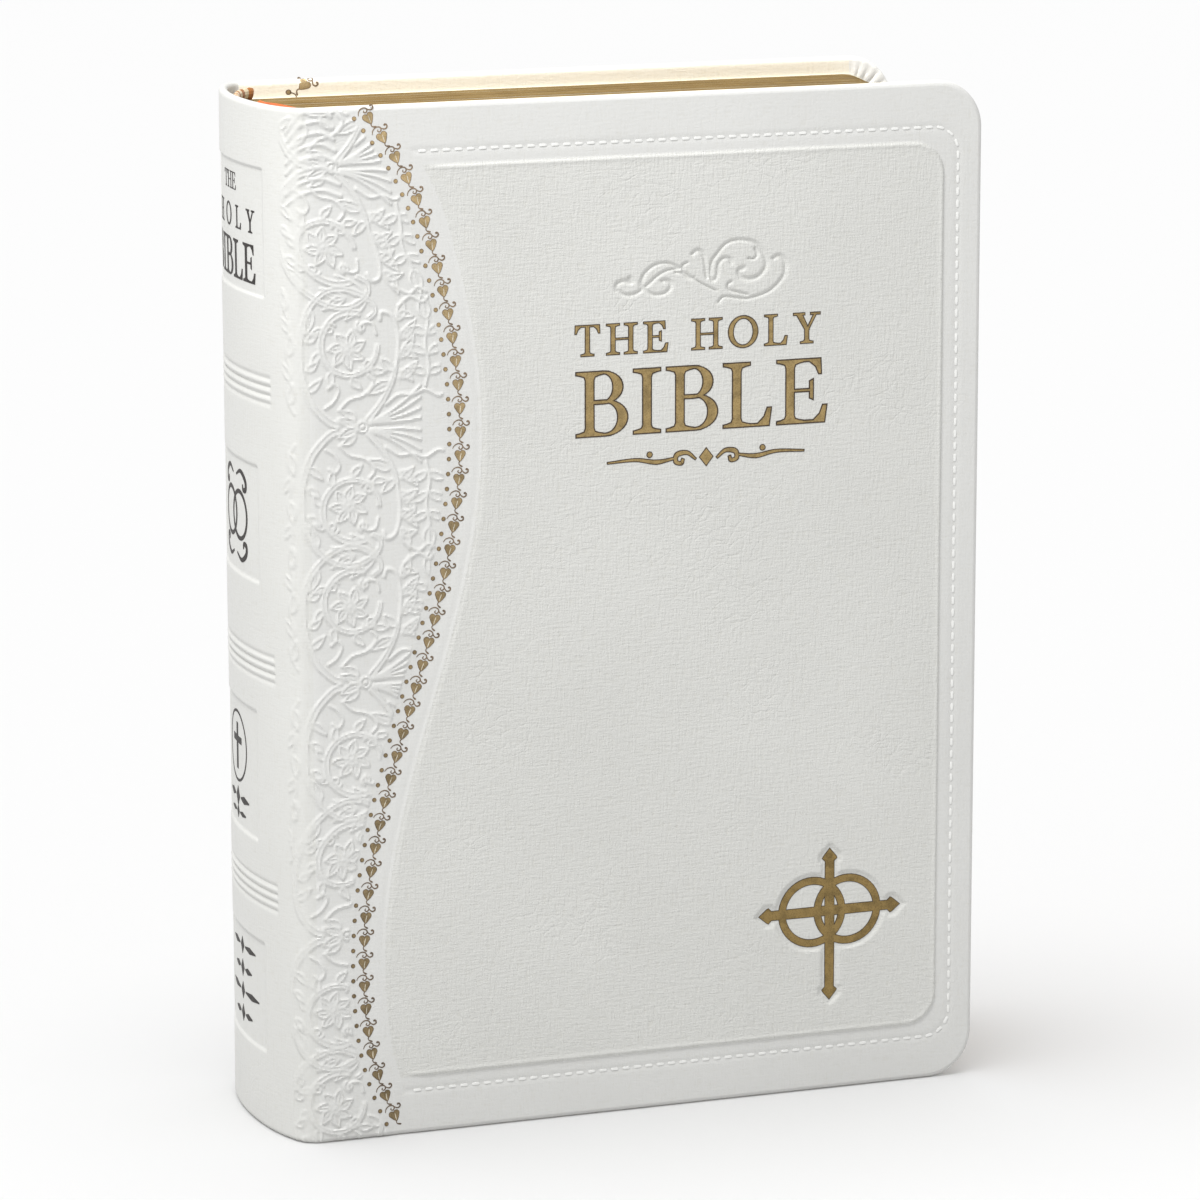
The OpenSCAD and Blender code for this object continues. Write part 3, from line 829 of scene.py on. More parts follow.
def draw_spine_relief():
    """Grooved bands and sunk label panels, over (angle from the spine's middle, height)."""
    canvas = Relief(-SPINE_REACH, SPINE_REACH, -2, TALL + 2, 0.2)
    angle, z = canvas.us[:, None], canvas.zs[None, :]
    for middle in SPINE_GROOVES:
        ends = smoothstep((SPINE_GROOVE_HALF - np.abs(angle)) / 1.5)
        for k in (-1.5, -0.5, 0.5, 1.5):
            gap = (z - middle - k * SPINE_GROOVE_PITCH) / 0.46
            canvas.field += ends * DEBOSS * np.exp(-gap * gap) * (1.0 if abs(k) < 1 else 0.8)
            rise = (z - middle - (k + 0.5) * SPINE_GROOVE_PITCH) / 0.55
            canvas.field -= ends * 0.12 * np.exp(-rise * rise) * (k < 1.5)
    for (low, high), (front, back) in zip(SPINE_PANELS, SPINE_PANEL_SIDES):
        upright = smoothstep((z - low) / 0.5) * smoothstep((high - z) / 0.5)
        inside = upright * smoothstep((angle + front) / 0.9) * smoothstep((back - angle) / 0.9)
        front_edge = np.exp(-(((angle + front) / 0.55) ** 2))
        canvas.field += DEBOSS * inside + 0.24 * upright * front_edge
    return canvas


def rounded_inset(u, z, left, right, low, high, radius):
    """Distance inside a rectangle whose right corners are rounded; negative outside."""
    reach = np.minimum(u - left, np.minimum(right - u, np.minimum(z - low, high - z)))
    cu = right - radius
    for cz, beyond in ((high - radius, z > high - radius), (low + radius, z < low + radius)):
        corner = (u > cu) & beyond
        reach = np.where(corner, radius - np.hypot(u - cu, z - cz), reach)
    return reach


def cover_inset(u, z, right, low, high, radius):
    """The same, for a cover's outline that runs on over the spine."""
    return rounded_inset(u, z, -50, right, low, high, radius)


def panel_inset(u, z):
    return cover_inset(u, z, PANEL_RIGHT, PANEL_LOW, PANEL_TOP, PANEL_R)


def sway(u, z, seed):
    """The slow unevenness of leather over board."""
    out = 0
    for k, (a, b, c) in enumerate(((0.031, 0.017, 0.4), (0.012, 0.043, 1.9), (0.055, 0.028, 4.1))):
        out = out + 0.035 * np.sin(a * 2 * u + b * 2 * z + c + seed + k)
    return out


def joint_valley(u):
    return 0.30 * np.exp(-(((u + 0.9) / 1.5) ** 2))


def stitch_channel(u, z):
    """The shallow channel that the stitch marks stand in."""
    reach = cover_inset(u, z, STITCH_RIGHT, STITCH_LOW, STITCH_TOP, STITCH_R)
    from_border = smoothstep((u - border_u(z) - LINE_OFFSET + 1.5) / 2)
    return -0.14 * from_border * np.exp(-((reach / 0.7) ** 2))


def panel_height(u, z):
    """The raised panel, with a ridge along the border and a lip round the other sides."""
    left = u - border_u(z) - LINE_OFFSET
    reach = panel_inset(u, z)
    fade = smoothstep((z - 30) / 25) * smoothstep((212 - z) / 25)
    edge = smoothstep(left / 1.1)
    soft = smoothstep(left / 7.0)
    mask = smoothstep(reach / 0.42) * (fade * edge + (1 - fade) * soft)
    ridge = 0.16 * np.exp(-((left / 0.45) ** 2)) * fade
    lip = 0.11 * np.exp(-(((reach - 0.7) / 0.42) ** 2)) * smoothstep(left / 4)
    return PANEL_LIFT * mask + ridge + lip


def in_panel(u, z):
    """True on the raised panel, where the leather is grained."""
    return (panel_inset(u, z) > 0) & (u > border_u(z) + LINE_OFFSET)


class Leatherwork:
    """All the relief on the outside of the book, evaluated at (u, z)."""

    def __init__(self):
        self.floral = draw_floral_strip()
        self.flourish = draw_flourish()
        self.hollow = draw_emblem_hollow()
        self.spine_canvas = draw_spine_relief()

    def cover(self, u, z, front):
        """Height of a cover's leather over its flat face."""
        u, z = np.broadcast_arrays(np.asarray(u, float), np.asarray(z, float))
        high = self.floral.at(u, z) * (u < FLORAL_HIGH_U - 2)
        high = high + stitch_channel(u, z) + panel_height(u, z)
        high = high - 0.12 * np.exp(-(((u - border_u(z)) / 2.4) ** 4))
        high = high - joint_valley(u) + sway(u, z, 0 if front else 2.2) * smoothstep(u / 12)
        if front:
            for canvas in (self.flourish, self.hollow):
                high = high - np.where(canvas.covers(u, z), canvas.at(u, z), 0)
        return high

    def spine(self, run, z):
        """Height of the spine's leather over its smooth curve."""
        angle = np.degrees(np.interp(run, SPINE_RUN, SPINE_ANGLE))
        high = -self.spine_canvas.at(angle, z) * (np.abs(angle) < SPINE_REACH - 1)
        for u in (-run, run - SPINE_LENGTH):
            high = high + self.floral.at(u, z) * (u > FLORAL_LOW_U + 1) - joint_valley(u)
        ends = smoothstep(run / 12) * smoothstep((SPINE_LENGTH - run) / 12)
        return high + sway(run * 0.6, z, 5.0) * ends


def spine_points():
    """The spine's curve from the front joint to the back joint: arc length, angle."""
    angle = np.radians(np.linspace(-90, 90, 721))
    return run_along(-SPINE_DEPTH * np.cos(angle), FACE * np.sin(angle)), angle


SPINE_RUN, SPINE_ANGLE = spine_points()
SPINE_LENGTH = SPINE_RUN[-1]


def spine_at(run, out):
    """Place (x, y) at a run from the front joint, out above the spine's smooth curve."""
    angle = np.interp(run, SPINE_RUN, SPINE_ANGLE)
    normal = np.stack([-np.cos(angle) * FACE, np.sin(angle) * SPINE_DEPTH], axis=-1)
    normal /= np.linalg.norm(normal, axis=-1, keepdims=True)
    x = -SPINE_DEPTH * np.cos(angle) + normal[..., 0] * out
    y = FACE * np.sin(angle) + normal[..., 1] * out
    return x, y


# ---------------------------------------------------------------- meshes
def make_piece(name, points, faces, paints, flat=None, paint_of=None, crease=42.0):
    """A mesh from points in millimetres. flat is a drawing coordinate for each point, and
    paint_of the number of each face's paint."""
    mesh = bpy.data.meshes.new(name)
    mesh.from_pydata((np.asarray(points, float) * MM).tolist(), [], faces)
    mesh.update()
    for paint in paints:
        mesh.materials.append(paint)
    if paint_of is not None:
        mesh.polygons.foreach_set("material_index", np.asarray(paint_of, np.int32))
    if flat is not None:
        corners = np.empty(len(mesh.loops), np.int32)
        mesh.loops.foreach_get("vertex_index", corners)
        layer = mesh.uv_layers.new(name="flat")
        layer.uv.foreach_set("vector", (np.asarray(flat)[corners] * MM).astype(np.float32).ravel())
    shape = bmesh.new()
    shape.from_mesh(mesh)
    if shape.calc_volume(signed=True) < 0:
        bmesh.ops.reverse_faces(shape, faces=shape.faces)
        shape.to_mesh(mesh)
    shape.free()
    mesh.polygons.foreach_set("use_smooth", np.ones(len(mesh.polygons), bool))
    mesh.set_sharp_from_angle(angle=math.radians(crease))
    piece = bpy.data.objects.new(name, mesh)
    bpy.context.scene.collection.objects.link(piece)
    return piece


def grid_quads(index):
    """Quads over a grid of point numbers."""
    corners = (index[:-1, :-1], index[1:, :-1], index[1:, 1:], index[:-1, 1:])
    return np.stack(corners, axis=-1).reshape(-1, 4).tolist()


def strip_quads(one, two, closed=False):
    """Quads between two lines of point numbers."""
    one, two = np.asarray(one), np.asarray(two)
    if closed:
        one, two = np.append(one, one[0]), np.append(two, two[0])
    return np.stack([one[:-1], one[1:], two[1:], two[:-1]], axis=-1).tolist()


def tube_faces(index):
    """Quads round lines of point numbers that lie side by side, then a face at each end."""
    faces = []
    for one, two in zip(index, np.roll(index, -1, axis=0)):
        faces += strip_quads(one, two)
    return faces + [index[:, 0].tolist(), index[:, -1].tolist()]


def steps_to(*spans):
    """Places from 0 on; each span is (end, step)."""
    places = [0.0]
    for end, step in spans:
        count = max(1, round((end - places[-1]) / step))
        places.extend(np.linspace(places[-1], end, count + 1)[1:])
    return np.array(places)


def round_corners(u, z, right, low, high, radius):
    """Grid points whose two fore-edge corners are bent into quarter discs."""
    a = np.clip((u - right + radius) / radius, 0, 1)
    up = np.clip((z - high + radius) / radius, 0, 1)
    down = np.clip((low + radius - z) / radius, 0, 1)
    b = np.maximum(up, down)
    corner = (a > 0) & (b > 0)
    bent = radius * b * np.sqrt(1 - a * a / 2)
    new_u = np.where(corner, right - radius + radius * a * np.sqrt(1 - b * b / 2), u)
    new_z = np.where(corner & (up > 0), high - radius + bent, z)
    new_z = np.where(corner & (down > 0), low + radius - bent, new_z)
    return new_u, new_z


def on_cover(u, depth, z, front):
    """Cover coordinates to the frame's axes: depth is measured outwards from the book's middle."""
    u, depth, z = np.broadcast_arrays(u, depth, z)
    return np.stack([JOINT_X + u, depth * (-1 if front else 1), z], axis=-1).reshape(-1, 3)


# ---------------------------------------------------------------- leather
# The spine's leather is folded over its lining at head and tail: the fold's thickness, how far
# down inside it reaches, and the leather's own thickness
SPINE_FOLD = 2.0
FOLD_DOWN = 6.4
FOLD_SKIN = 0.9
# A cover's edge: the steps of its roll, the turn-in's distances from the edge, and how many
# pleats a corner has, the degrees that they fade in over, and their depth
RIM_STEPS = 8
TURN_IN_STEPS = (0.7, 1.5, 2.4, 3.3, 4.4, 6.0, 9.3)
PLEATS = 6
PLEAT_FADE = 14.0
GATHER = 0.28
# Rows of points as shares of the height, and a cover's columns as (end, step)
ROW_PLACES = steps_to(
    (PANEL_LOW - 0.8, 0.34), (PANEL_LOW + 1.2, 0.2), (FLOURISH_Z[0], 0.34), (FLOURISH_Z[1], 0.25),
    (PANEL_TOP - 1.2, 0.34), (PANEL_TOP + 0.8, 0.2), (TALL, 0.34)) / TALL
ROWS = len(ROW_PLACES) - 1
COVER_SPANS = (
    (FLORAL_HIGH_U - 2, 0.29), (67, 1.1), (106, 0.33), (PANEL_RIGHT - 1.2, 0.42), (PANEL_RIGHT + 0.8, 0.2),
    (WIDE - RIM_R, 0.5))


def inner_face(u):
    """Depth of a cover's inside, where the cover thins towards the joint."""
    return TURN_IN_FACE + (FACE - SPINE_FOLD - TURN_IN_FACE) * (1 - smoothstep(np.asarray(u) / 4.5))


def rim_radius(u):
    return (FACE - inner_face(u)) / 2


def edge_frame(u, z):
    """At points on a cover's edge: unit vectors out of it, how far they turn towards head or
    tail in degrees, and the shape of the pleats at the corners."""
    core_u, core_z = np.minimum(u, WIDE - CORNER_R), np.clip(z, CORNER_R, TALL - CORNER_R)
    away = np.stack([u - core_u, z - core_z], axis=1)
    away /= np.linalg.norm(away, axis=1, keepdims=True)
    turn = np.degrees(np.arctan2(np.abs(away[:, 1]), away[:, 0]))
    in_corner = smoothstep(turn / PLEAT_FADE) * smoothstep((90 - turn) / PLEAT_FADE)
    return away, turn, in_corner * np.abs(np.sin(np.radians(turn) * PLEATS * 2)) ** 0.8


def edge_rings(roll, high, folds):
    """Rings of points from the outside over the edge and in again, as (how far out of the
    edge, depth, length of leather since the outside)."""
    for k in range(1, RIM_STEPS + 1):
        angle = math.pi * k / RIM_STEPS
        depth = FACE - roll + roll * math.cos(angle) + high * max(0.0, math.cos(angle))
        gather = GATHER * smoothstep((k / RIM_STEPS - 0.35) / 0.65)
        yield roll * math.sin(angle), depth - gather * folds, roll * angle
    for inward in TURN_IN_STEPS:
        gather = GATHER + 0.3 * smoothstep(inward / 2) - 0.46 * smoothstep((inward - 2.6) / 2)
        yield -inward, FACE - 2 * roll - gather * folds, roll * math.pi + inward


def make_cover(side, work, paints, coarse):
    """A cover's leather: the relief outside, the rolled edge, and the turn-in inside. Each
    paint's number is its place in paints: grained, inside, turned and smooth leather. coarse
    widens the columns."""
    front = side == "front"
    us = steps_to(*((end, step * coarse) for end, step in COVER_SPANS))
    rolls = rim_radius(us)[:, None]
    u = np.repeat(us[:, None], ROWS + 1, axis=1)
    z = rolls + (TALL - 2 * rolls) * ROW_PLACES
    u, z = round_corners(u, z, WIDE - RIM_R, RIM_R, TALL - RIM_R, CORNER_R - RIM_R)
    high = work.cover(u, z, front)
    points = [on_cover(u, FACE + high, z, front)]
    flat = [np.stack([u.ravel(), z.ravel()], axis=1)]
    index = np.arange(u.size).reshape(u.shape)
    faces = grid_quads(index)
    outer_faces = len(faces)

    loop = np.concatenate([index[:, 0], index[-1, 1:], index[-2::-1, -1]])
    edge_u, edge_z = u.ravel()[loop], z.ravel()[loop]
    away, turn, folds = edge_frame(edge_u, edge_z)
    rings = [loop]
    for out, depth, run in edge_rings(rim_radius(edge_u), high.ravel()[loop], folds):
        points.append(on_cover(edge_u + away[:, 0] * out, depth, edge_z + away[:, 1] * out, front))
        flat.append(np.stack([edge_u + away[:, 0] * run, edge_z + away[:, 1] * run], axis=1))
        rings.append(u.size + (len(rings) - 1) * len(loop) + np.arange(len(loop)))
    for one, two in zip(rings, rings[1:]):
        faces += strip_quads(one, two)
    columns = len(us)
    last = rings[-1]
    tail_side, head_side = last[:columns], last[columns + ROWS - 1:][::-1]
    faces += strip_quads(tail_side, head_side)
    faces.append(last[columns - 1: columns + ROWS].tolist())
    wall = index[0].tolist() + [int(r[-1]) for r in rings[1:]] + [int(r[0]) for r in rings[:0:-1]]
    faces.append(wall)
    grained, inner, turned_in, plain = range(len(paints))
    paint_of = np.full(len(faces), plain)
    middle_u, middle_z = ((a[:-1, :-1] + a[1:, 1:]) / 2 for a in (u, z))
    paint_of[:outer_faces][in_panel(middle_u, middle_z).ravel()] = grained
    straight = np.where((turn[:-1] > 89) & (turn[1:] > 89), inner, turned_in)
    for k in range(RIM_STEPS // 2 - 1, len(rings) - 1):
        start = outer_faces + k * (len(loop) - 1)
        paint_of[start: start + len(loop) - 1] = straight
    points, flat = np.concatenate(points), np.concatenate(flat)
    piece = make_piece(side + "_leather", points, faces, paints, flat, paint_of)
    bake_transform(piece)
    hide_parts(side + "_cover_skin")


def make_spine(work, paint):
    """Leather round the spine, folded over the lining at head and tail."""
    runs = np.linspace(0, SPINE_LENGTH, 161)
    roll = SPINE_FOLD / 2
    zs = roll + (TALL - 2 * roll) * ROW_PLACES
    run, z = np.meshgrid(runs, zs, indexing="ij")
    high = work.spine(run, z)
    rows = [(high[:, j], zs[j], zs[j]) for j in range(ROWS + 1)]
    head, tail = [], []
    for k in range(1, RIM_STEPS + 1):
        angle = math.pi * k / RIM_STEPS
        out = -roll + roll * math.cos(angle)
        for ends, edge, way in ((head, -1, 1), (tail, 0, -1)):
            lift = out + high[:, edge] * max(0.0, math.cos(angle))
            ends.append((lift, zs[edge] + way * roll * math.sin(angle), zs[edge] + way * roll * angle))
    for ends, way, middle in ((head, 1, TALL), (tail, -1, 0)):
        inside = middle - way * FOLD_DOWN
        for depth, further in ((SPINE_FOLD, 16), (FOLD_SKIN, 17)):
            ends.append((np.full(len(runs), -depth), inside, inside + way * further))
    order = tail[::-1] + rows + head
    points, flat = [], []
    for out, height, along_z in order:
        x, y = spine_at(runs, out)
        points.append(np.stack([JOINT_X + x, y, np.full(len(runs), height)], axis=1))
        flat.append(np.stack([-runs, np.full(len(runs), along_z)], axis=1))
    index = np.arange(len(order) * len(runs)).reshape(len(order), len(runs))
    faces = grid_quads(index) + strip_quads(index[0], index[-1])
    faces += [index[:, 0].tolist(), index[:, -1].tolist()]
    piece = make_piece("spine_leather", np.concatenate(points), faces, [paint], np.concatenate(flat))
    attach(piece, "book_block")
    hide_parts("spine_skin")


# ---------------------------------------------------------------- foil shapes
def outline_of(points):
    """The points as an array, counter-clockwise."""
    points = np.asarray(points, float)
    after = np.roll(points, -1, axis=0)
    area = np.sum(points[:, 0] * after[:, 1] - after[:, 0] * points[:, 1])
    return points if area > 0 else points[::-1]


def grow(outline, by):
    """The outline moved outwards."""
    p = outline_of(outline)
    edge = np.roll(p, -1, axis=0) - p
    normal = np.stack([edge[:, 1], -edge[:, 0]], axis=1)
    normal /= np.linalg.norm(normal, axis=1, keepdims=True) + 1e-12
    before = np.roll(normal, 1, axis=0)
    share = 1 + np.sum(normal * before, axis=1, keepdims=True)
    return p + by * (normal + before) / np.maximum(share, 0.35)


def oval(cu, cz, ru, rz, steps, start=0, end=360):
    """Points round an oval, or along an arc of it with both of its ends."""
    a = np.radians(np.linspace(start, end, steps + 1))
    if end - start == 360:
        a = a[:-1]
    return np.stack([cu + ru * np.cos(a), cz + rz * np.sin(a)], axis=1)


def band(outer, inner):
    """Quads between two lines with as many points, such as a ring."""
    shapes = []
    for a, b, c, d in zip(outer, outer[1:], inner[1:], inner):
        shapes.append(outline_of([a, b, c, d]))
    return shapes


def ring(cu, cz, outer, inner, steps=48):
    a = np.radians(np.linspace(0, 360, steps + 1))
    circle = np.stack([np.cos(a), np.sin(a)], axis=1)
    return band(circle * outer + (cu, cz), circle * inner + (cu, cz))


def brush(points, widths):
    """A curve drawn with a pen whose width changes from one end to the other."""
    line = smooth(points, 6)
    t = np.linspace(0, 1, len(line))
    half = np.interp(t, np.linspace(0, 1, len(widths)), widths)[:, None] / 2
    side = sideways(line)
    return band(line + side * half, line - side * half)


class Foil:
    """Stamped shapes that lie on the leather; place maps (u, z, lift) to the frame's axes."""

    def __init__(self, place):
        self.place = place
        self.points, self.faces, self.paint_of, self.count = [], [], [], 0

    def stamp(self, shapes, lift, paint, cell=0.0):
        """Thin closed solids, one for each shape; cell is how far apart their inner points are,
        so that a wide shape follows the relief."""
        points, outlines = [], []
        for shape in shapes:
            outlines.append(list(range(len(points), len(points) + len(shape))))
            points.extend(Vector(p) for p in shape)
        if cell:
            low = np.min([np.min(s, axis=0) for s in shapes], axis=0)
            high = np.max([np.max(s, axis=0) for s in shapes], axis=0)
            for a in np.arange(low[0] + cell / 2, high[0], cell):
                points.extend(Vector((a, b)) for b in np.arange(low[1] + cell / 2, high[1], cell))
        flat, _, faces, _, _, source = delaunay_2d_cdt(points, [], outlines, 1, 1e-4)
        faces = [f for f, owner in zip(faces, source) if owner]
        used = sorted({v for f in faces for v in f})
        number = {v: k for k, v in enumerate(used)}
        faces = [[number[v] for v in f] for f in faces]
        flat = np.array([flat[v] for v in used])
        outer_edges = {}
        for f in faces:
            for a, b in zip(f, f[1:] + f[:1]):
                if outer_edges.pop((b, a), None) is None:
                    outer_edges[(a, b)] = True
        n, first = len(used), self.count
        for height in (lift, lift - FOIL_T):
            self.points.append(self.place(flat[:, 0], flat[:, 1], height))
        made = [[first + v for v in f] for f in faces]
        made += [[first + n + v for v in f[::-1]] for f in faces]
        made += [[first + b, first + a, first + n + a, first + n + b] for a, b in outer_edges]
        self.faces += made
        self.paint_of += [paint] * len(made)
        self.count += 2 * n

    def piece(self, name, paints, body, node, slot):
        points = np.concatenate(self.points)
        piece = make_piece(name, points, self.faces, paints, paint_of=self.paint_of, crease=30)
        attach(piece, body)
        if node:
            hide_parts(node)


def heart_shape(size):
    """Heart with its point down, centred on its own height."""
    lobe = size * 0.255
    right = oval(lobe * 0.98, size / 2 - lobe, lobe, lobe * 1.05, 10, -25, 155)
    tip = [(size * 0.27, -size * 0.22), (size * 0.10, -size * 0.43), (0.0, -size * 0.5)]
    half = np.vstack([tip[::-1], right[:-1]])
    left = half[::-1] * (-1, 1)
    notch = [(0.0, size / 2 - lobe * 0.72)]
    return outline_of(np.vstack([half, notch, left[:-1]]))


def heart_motif():
    """One repeat of the border about its heart: outlines in gold, in brown, and of the vein. The brown is
    brown foil darkened with painted shade, and round the heart it is a rim of painted shade.
    """
    heart = heart_shape(HEART_H * 0.86)
    brown = [grow(heart, 0.12)]
    brown += brush([(0.0, -1.1), (-0.22, -1.6), (-0.05, -2.0), (0.4, -2.3)], (0.24, 0.2, 0.4))
    brown += brush([(-1.8, 1.7), (-1.35, 2.4), (-0.45, 2.8), (0.4, 2.5), (0.55, 1.9),
                    (0.1, 1.5), (-0.35, 1.8), (-0.12, 2.15)], (0.14, 0.27, 0.27, 0.16))
    brown += brush([(0.45, 2.55), (0.8, 1.9), (1.4, 1.5), (2.0, 1.8), (1.95, 2.4), (1.55, 2.45)],
                   (0.13, 0.28, 0.32, 0.36))
    brown += [oval(1.64, 2.38, 0.24, 0.22, 10), oval(0.46, -2.34, 0.26, 0.17, 10)]
    vein = brush([(0.02, -1.0), (0.08, -0.2), (0.24, 0.6)], (0.1, 0.2, 0.12))
    return [heart], brown, vein


def border_places(pitch, start):
    """Places along the border, pitch apart from head to tail: (u, z, lean in degrees)."""
    z = np.linspace(TALL - 0.2, 0.2, 4000)
    u = border_u(z)
    run = run_along(u, z)
    for at in np.arange(start, run[-1] - 1.2, pitch):
        before, here, after = (np.interp(at + step, run, u) for step in (-0.5, 0, 0.5))
        yield here, np.interp(at, run, z), math.degrees(math.atan2(after - before, 1.0))


def make_border(side, place, paints):
    foil = Foil(place)
    gold, dark, vein = heart_motif()
    # The dark layer: brown foil for the curls and dots, darkened with painted shade, and a rim of painted
    # shade round each heart and gold dot.
    layers = ((dark, DARK_LIFT, DARK), (gold, GOLD_LIFT, GOLD), (vein, VEIN_LIFT, VEIN))
    for u, z, slope in border_places(HEART_PITCH, HEART_START):
        for shapes, lift, paint in layers:
            foil.stamp([turned(shape, u, z, slope * 0.9) for shape in shapes], lift, paint)
    for u, z, slope in border_places(DOT_PITCH, DOT_START):
        lean = math.radians(slope)
        cu, cz = u - DOT_OFFSET * math.cos(lean), z - DOT_OFFSET * math.sin(lean)
        foil.stamp([oval(cu, cz, DOT_R, DOT_R, 12)], DARK_LIFT, DARK)
        foil.stamp([oval(cu, cz, DOT_GOLD_R, DOT_GOLD_R, 10)], GOLD_LIFT, GOLD)
    if side == "back":
        stamp_turn_in_hearts(foil)
    foil.piece(side + "_border", paints, side + "_cover", side + "_border_foil", "border_gold")


def stitch_places():
    """(u, z, angle) of the stitch marks along the head, fore-edge and tail of a cover."""
    right, r = STITCH_RIGHT - STITCH_R, STITCH_R
    start = border_u(STITCH_TOP) + LINE_OFFSET + 0.5
    end = border_u(STITCH_LOW) + LINE_OFFSET + 0.5
    corner = r * math.pi / 2
    legs = (right - start, corner, STITCH_TOP - STITCH_LOW - 2 * r, corner, right - end)
    for at in np.arange(STITCH_PITCH / 2, sum(legs), STITCH_PITCH):
        leg = 0
        while at >= legs[leg] and leg < len(legs) - 1:
            at -= legs[leg]
            leg += 1
        a = at / r
        if leg == 0:
            yield start + at, STITCH_TOP, 0
        elif leg == 1:
            yield right + r * math.sin(a), STITCH_TOP - r * (1 - math.cos(a)), -math.degrees(a)
        elif leg == 2:
            yield STITCH_RIGHT, STITCH_TOP - r - at, -90
        elif leg == 3:
            yield right + r * math.cos(a), STITCH_LOW + r * (1 - math.sin(a)), -90 - math.degrees(a)
        else:
            yield right - at, STITCH_LOW, 180


def make_stitch_marks(side, place, paint):
    """Imitation stitches moulded in the leather, as small pads on the cover, painted lighter than the
    leather round them: a painted highlight on the raised marks.
    """
    foil = Foil(place)
    half, r = STITCH_LEN / 2, 0.32
    pad = np.vstack([oval(half - r, 0, r, r, 5, -90, 90), oval(r - half, 0, r, r, 5, 90, 270)])
    for u, z, angle in stitch_places():
        for size, lift in STITCH_LIFTS:
            foil.stamp([outline_of(turned(pad * size, u, z, angle))], lift, 0)
    foil.piece(side + "_stitch_marks", [paint], side + "_cover", None, "cover_leather")


def stamp_turn_in_hearts(foil):
    """The end of the back border, where the leather is folded inside at the head."""
    outside = foil.place

    def inside(u, z, lift):
        roll = rim_radius(u)
        turn = np.clip((z - TALL + roll) / roll, 0, 2.4)
        depth = FACE - roll - (roll + lift) * np.cos(turn)
        return on_cover(u, depth, np.minimum(z, TALL - roll) + (roll + lift) * np.sin(turn), False)

    foil.place = inside
    gold, dark, _ = heart_motif()
    layers = ((dark, INSIDE_DARK_LIFT, DARK), (gold, INSIDE_GOLD_LIFT, GOLD))
    for u, z in ((15.2, 233.7), (11.2, 229.2)):
        for shapes, lift, paint in layers:
            foil.stamp([turned(shape, u, z, -48, 1.1) for shape in shapes], lift, paint)
    foil.stamp([oval(11.6, 232.2, 0.7, 0.62, 12)], INSIDE_DARK_LIFT, DARK)
    foil.stamp([oval(11.6, 232.2, 0.45, 0.4, 10)], INSIDE_GOLD_LIFT, GOLD)
    foil.place = outside


# Roman capitals in a box 10 high, as lists of outlines: half a stem, a thin line, a round one
STEM = 0.61
THIN = 0.25
ROUND = 1.45


def box(left, low, right, high):
    return outline_of([(left, low), (right, low), (right, high), (left, high)])


def serif(x, at, up, half=2.15, stem=STEM):
    """A bracketed foot at height at; up is 1 for a foot at the bottom of a stem."""
    side = [(half, 0), (half, 0.3), (half - 0.55, 0.4), (stem + 0.22, 0.66), (stem, 1.25)]
    points = side + [(-a, b) for a, b in side[::-1]]
    return outline_of([(x + a, at + up * b) for a, b in points])


def stem(x, low=0.0, high=10.0, feet=(True, True)):
    shapes = [box(x - STEM, low + 0.2, x + STEM, high - 0.2)]
    if feet[0]:
        shapes.append(serif(x, low, 1))
    if feet[1]:
        shapes.append(serif(x, high, -1))
    return shapes


def arm(left, right, at, up, drop):
    """A thin arm with a wedge at its right end; up is 1 where the wedge rises."""
    wedge = [(right - 1.9, at), (right - 0.1, at), (right + 0.25 * (up > 0), at + up * drop),
             (right - 0.3, at + up * drop), (right - 0.8, at + up * drop * 0.5),
             (right - 1.9, at + up * THIN)]
    low, high = sorted((at, at + up * THIN))
    return [box(left, low, right - 1.0, high), outline_of(wedge)]


def bowl(x, right, low, high):
    """The round part of a B or P from stem x out to right."""
    middle, ry = (low + high) / 2, (high - low) / 2
    cu = x + (right - x) * 0.42
    a = np.radians(np.linspace(90, -90, 19))
    outer = np.stack([cu + (right - cu) * np.cos(a), middle + ry * np.sin(a)], axis=1)
    inner = np.stack([cu + (right - cu - ROUND) * np.cos(a), middle + (ry - THIN) * np.sin(a)], axis=1)
    outer = np.vstack([[(x, high)], outer, [(x, low)]])
    inner = np.vstack([[(x, high - THIN)], inner, [(x, low + THIN)]])
    return band(outer, inner)


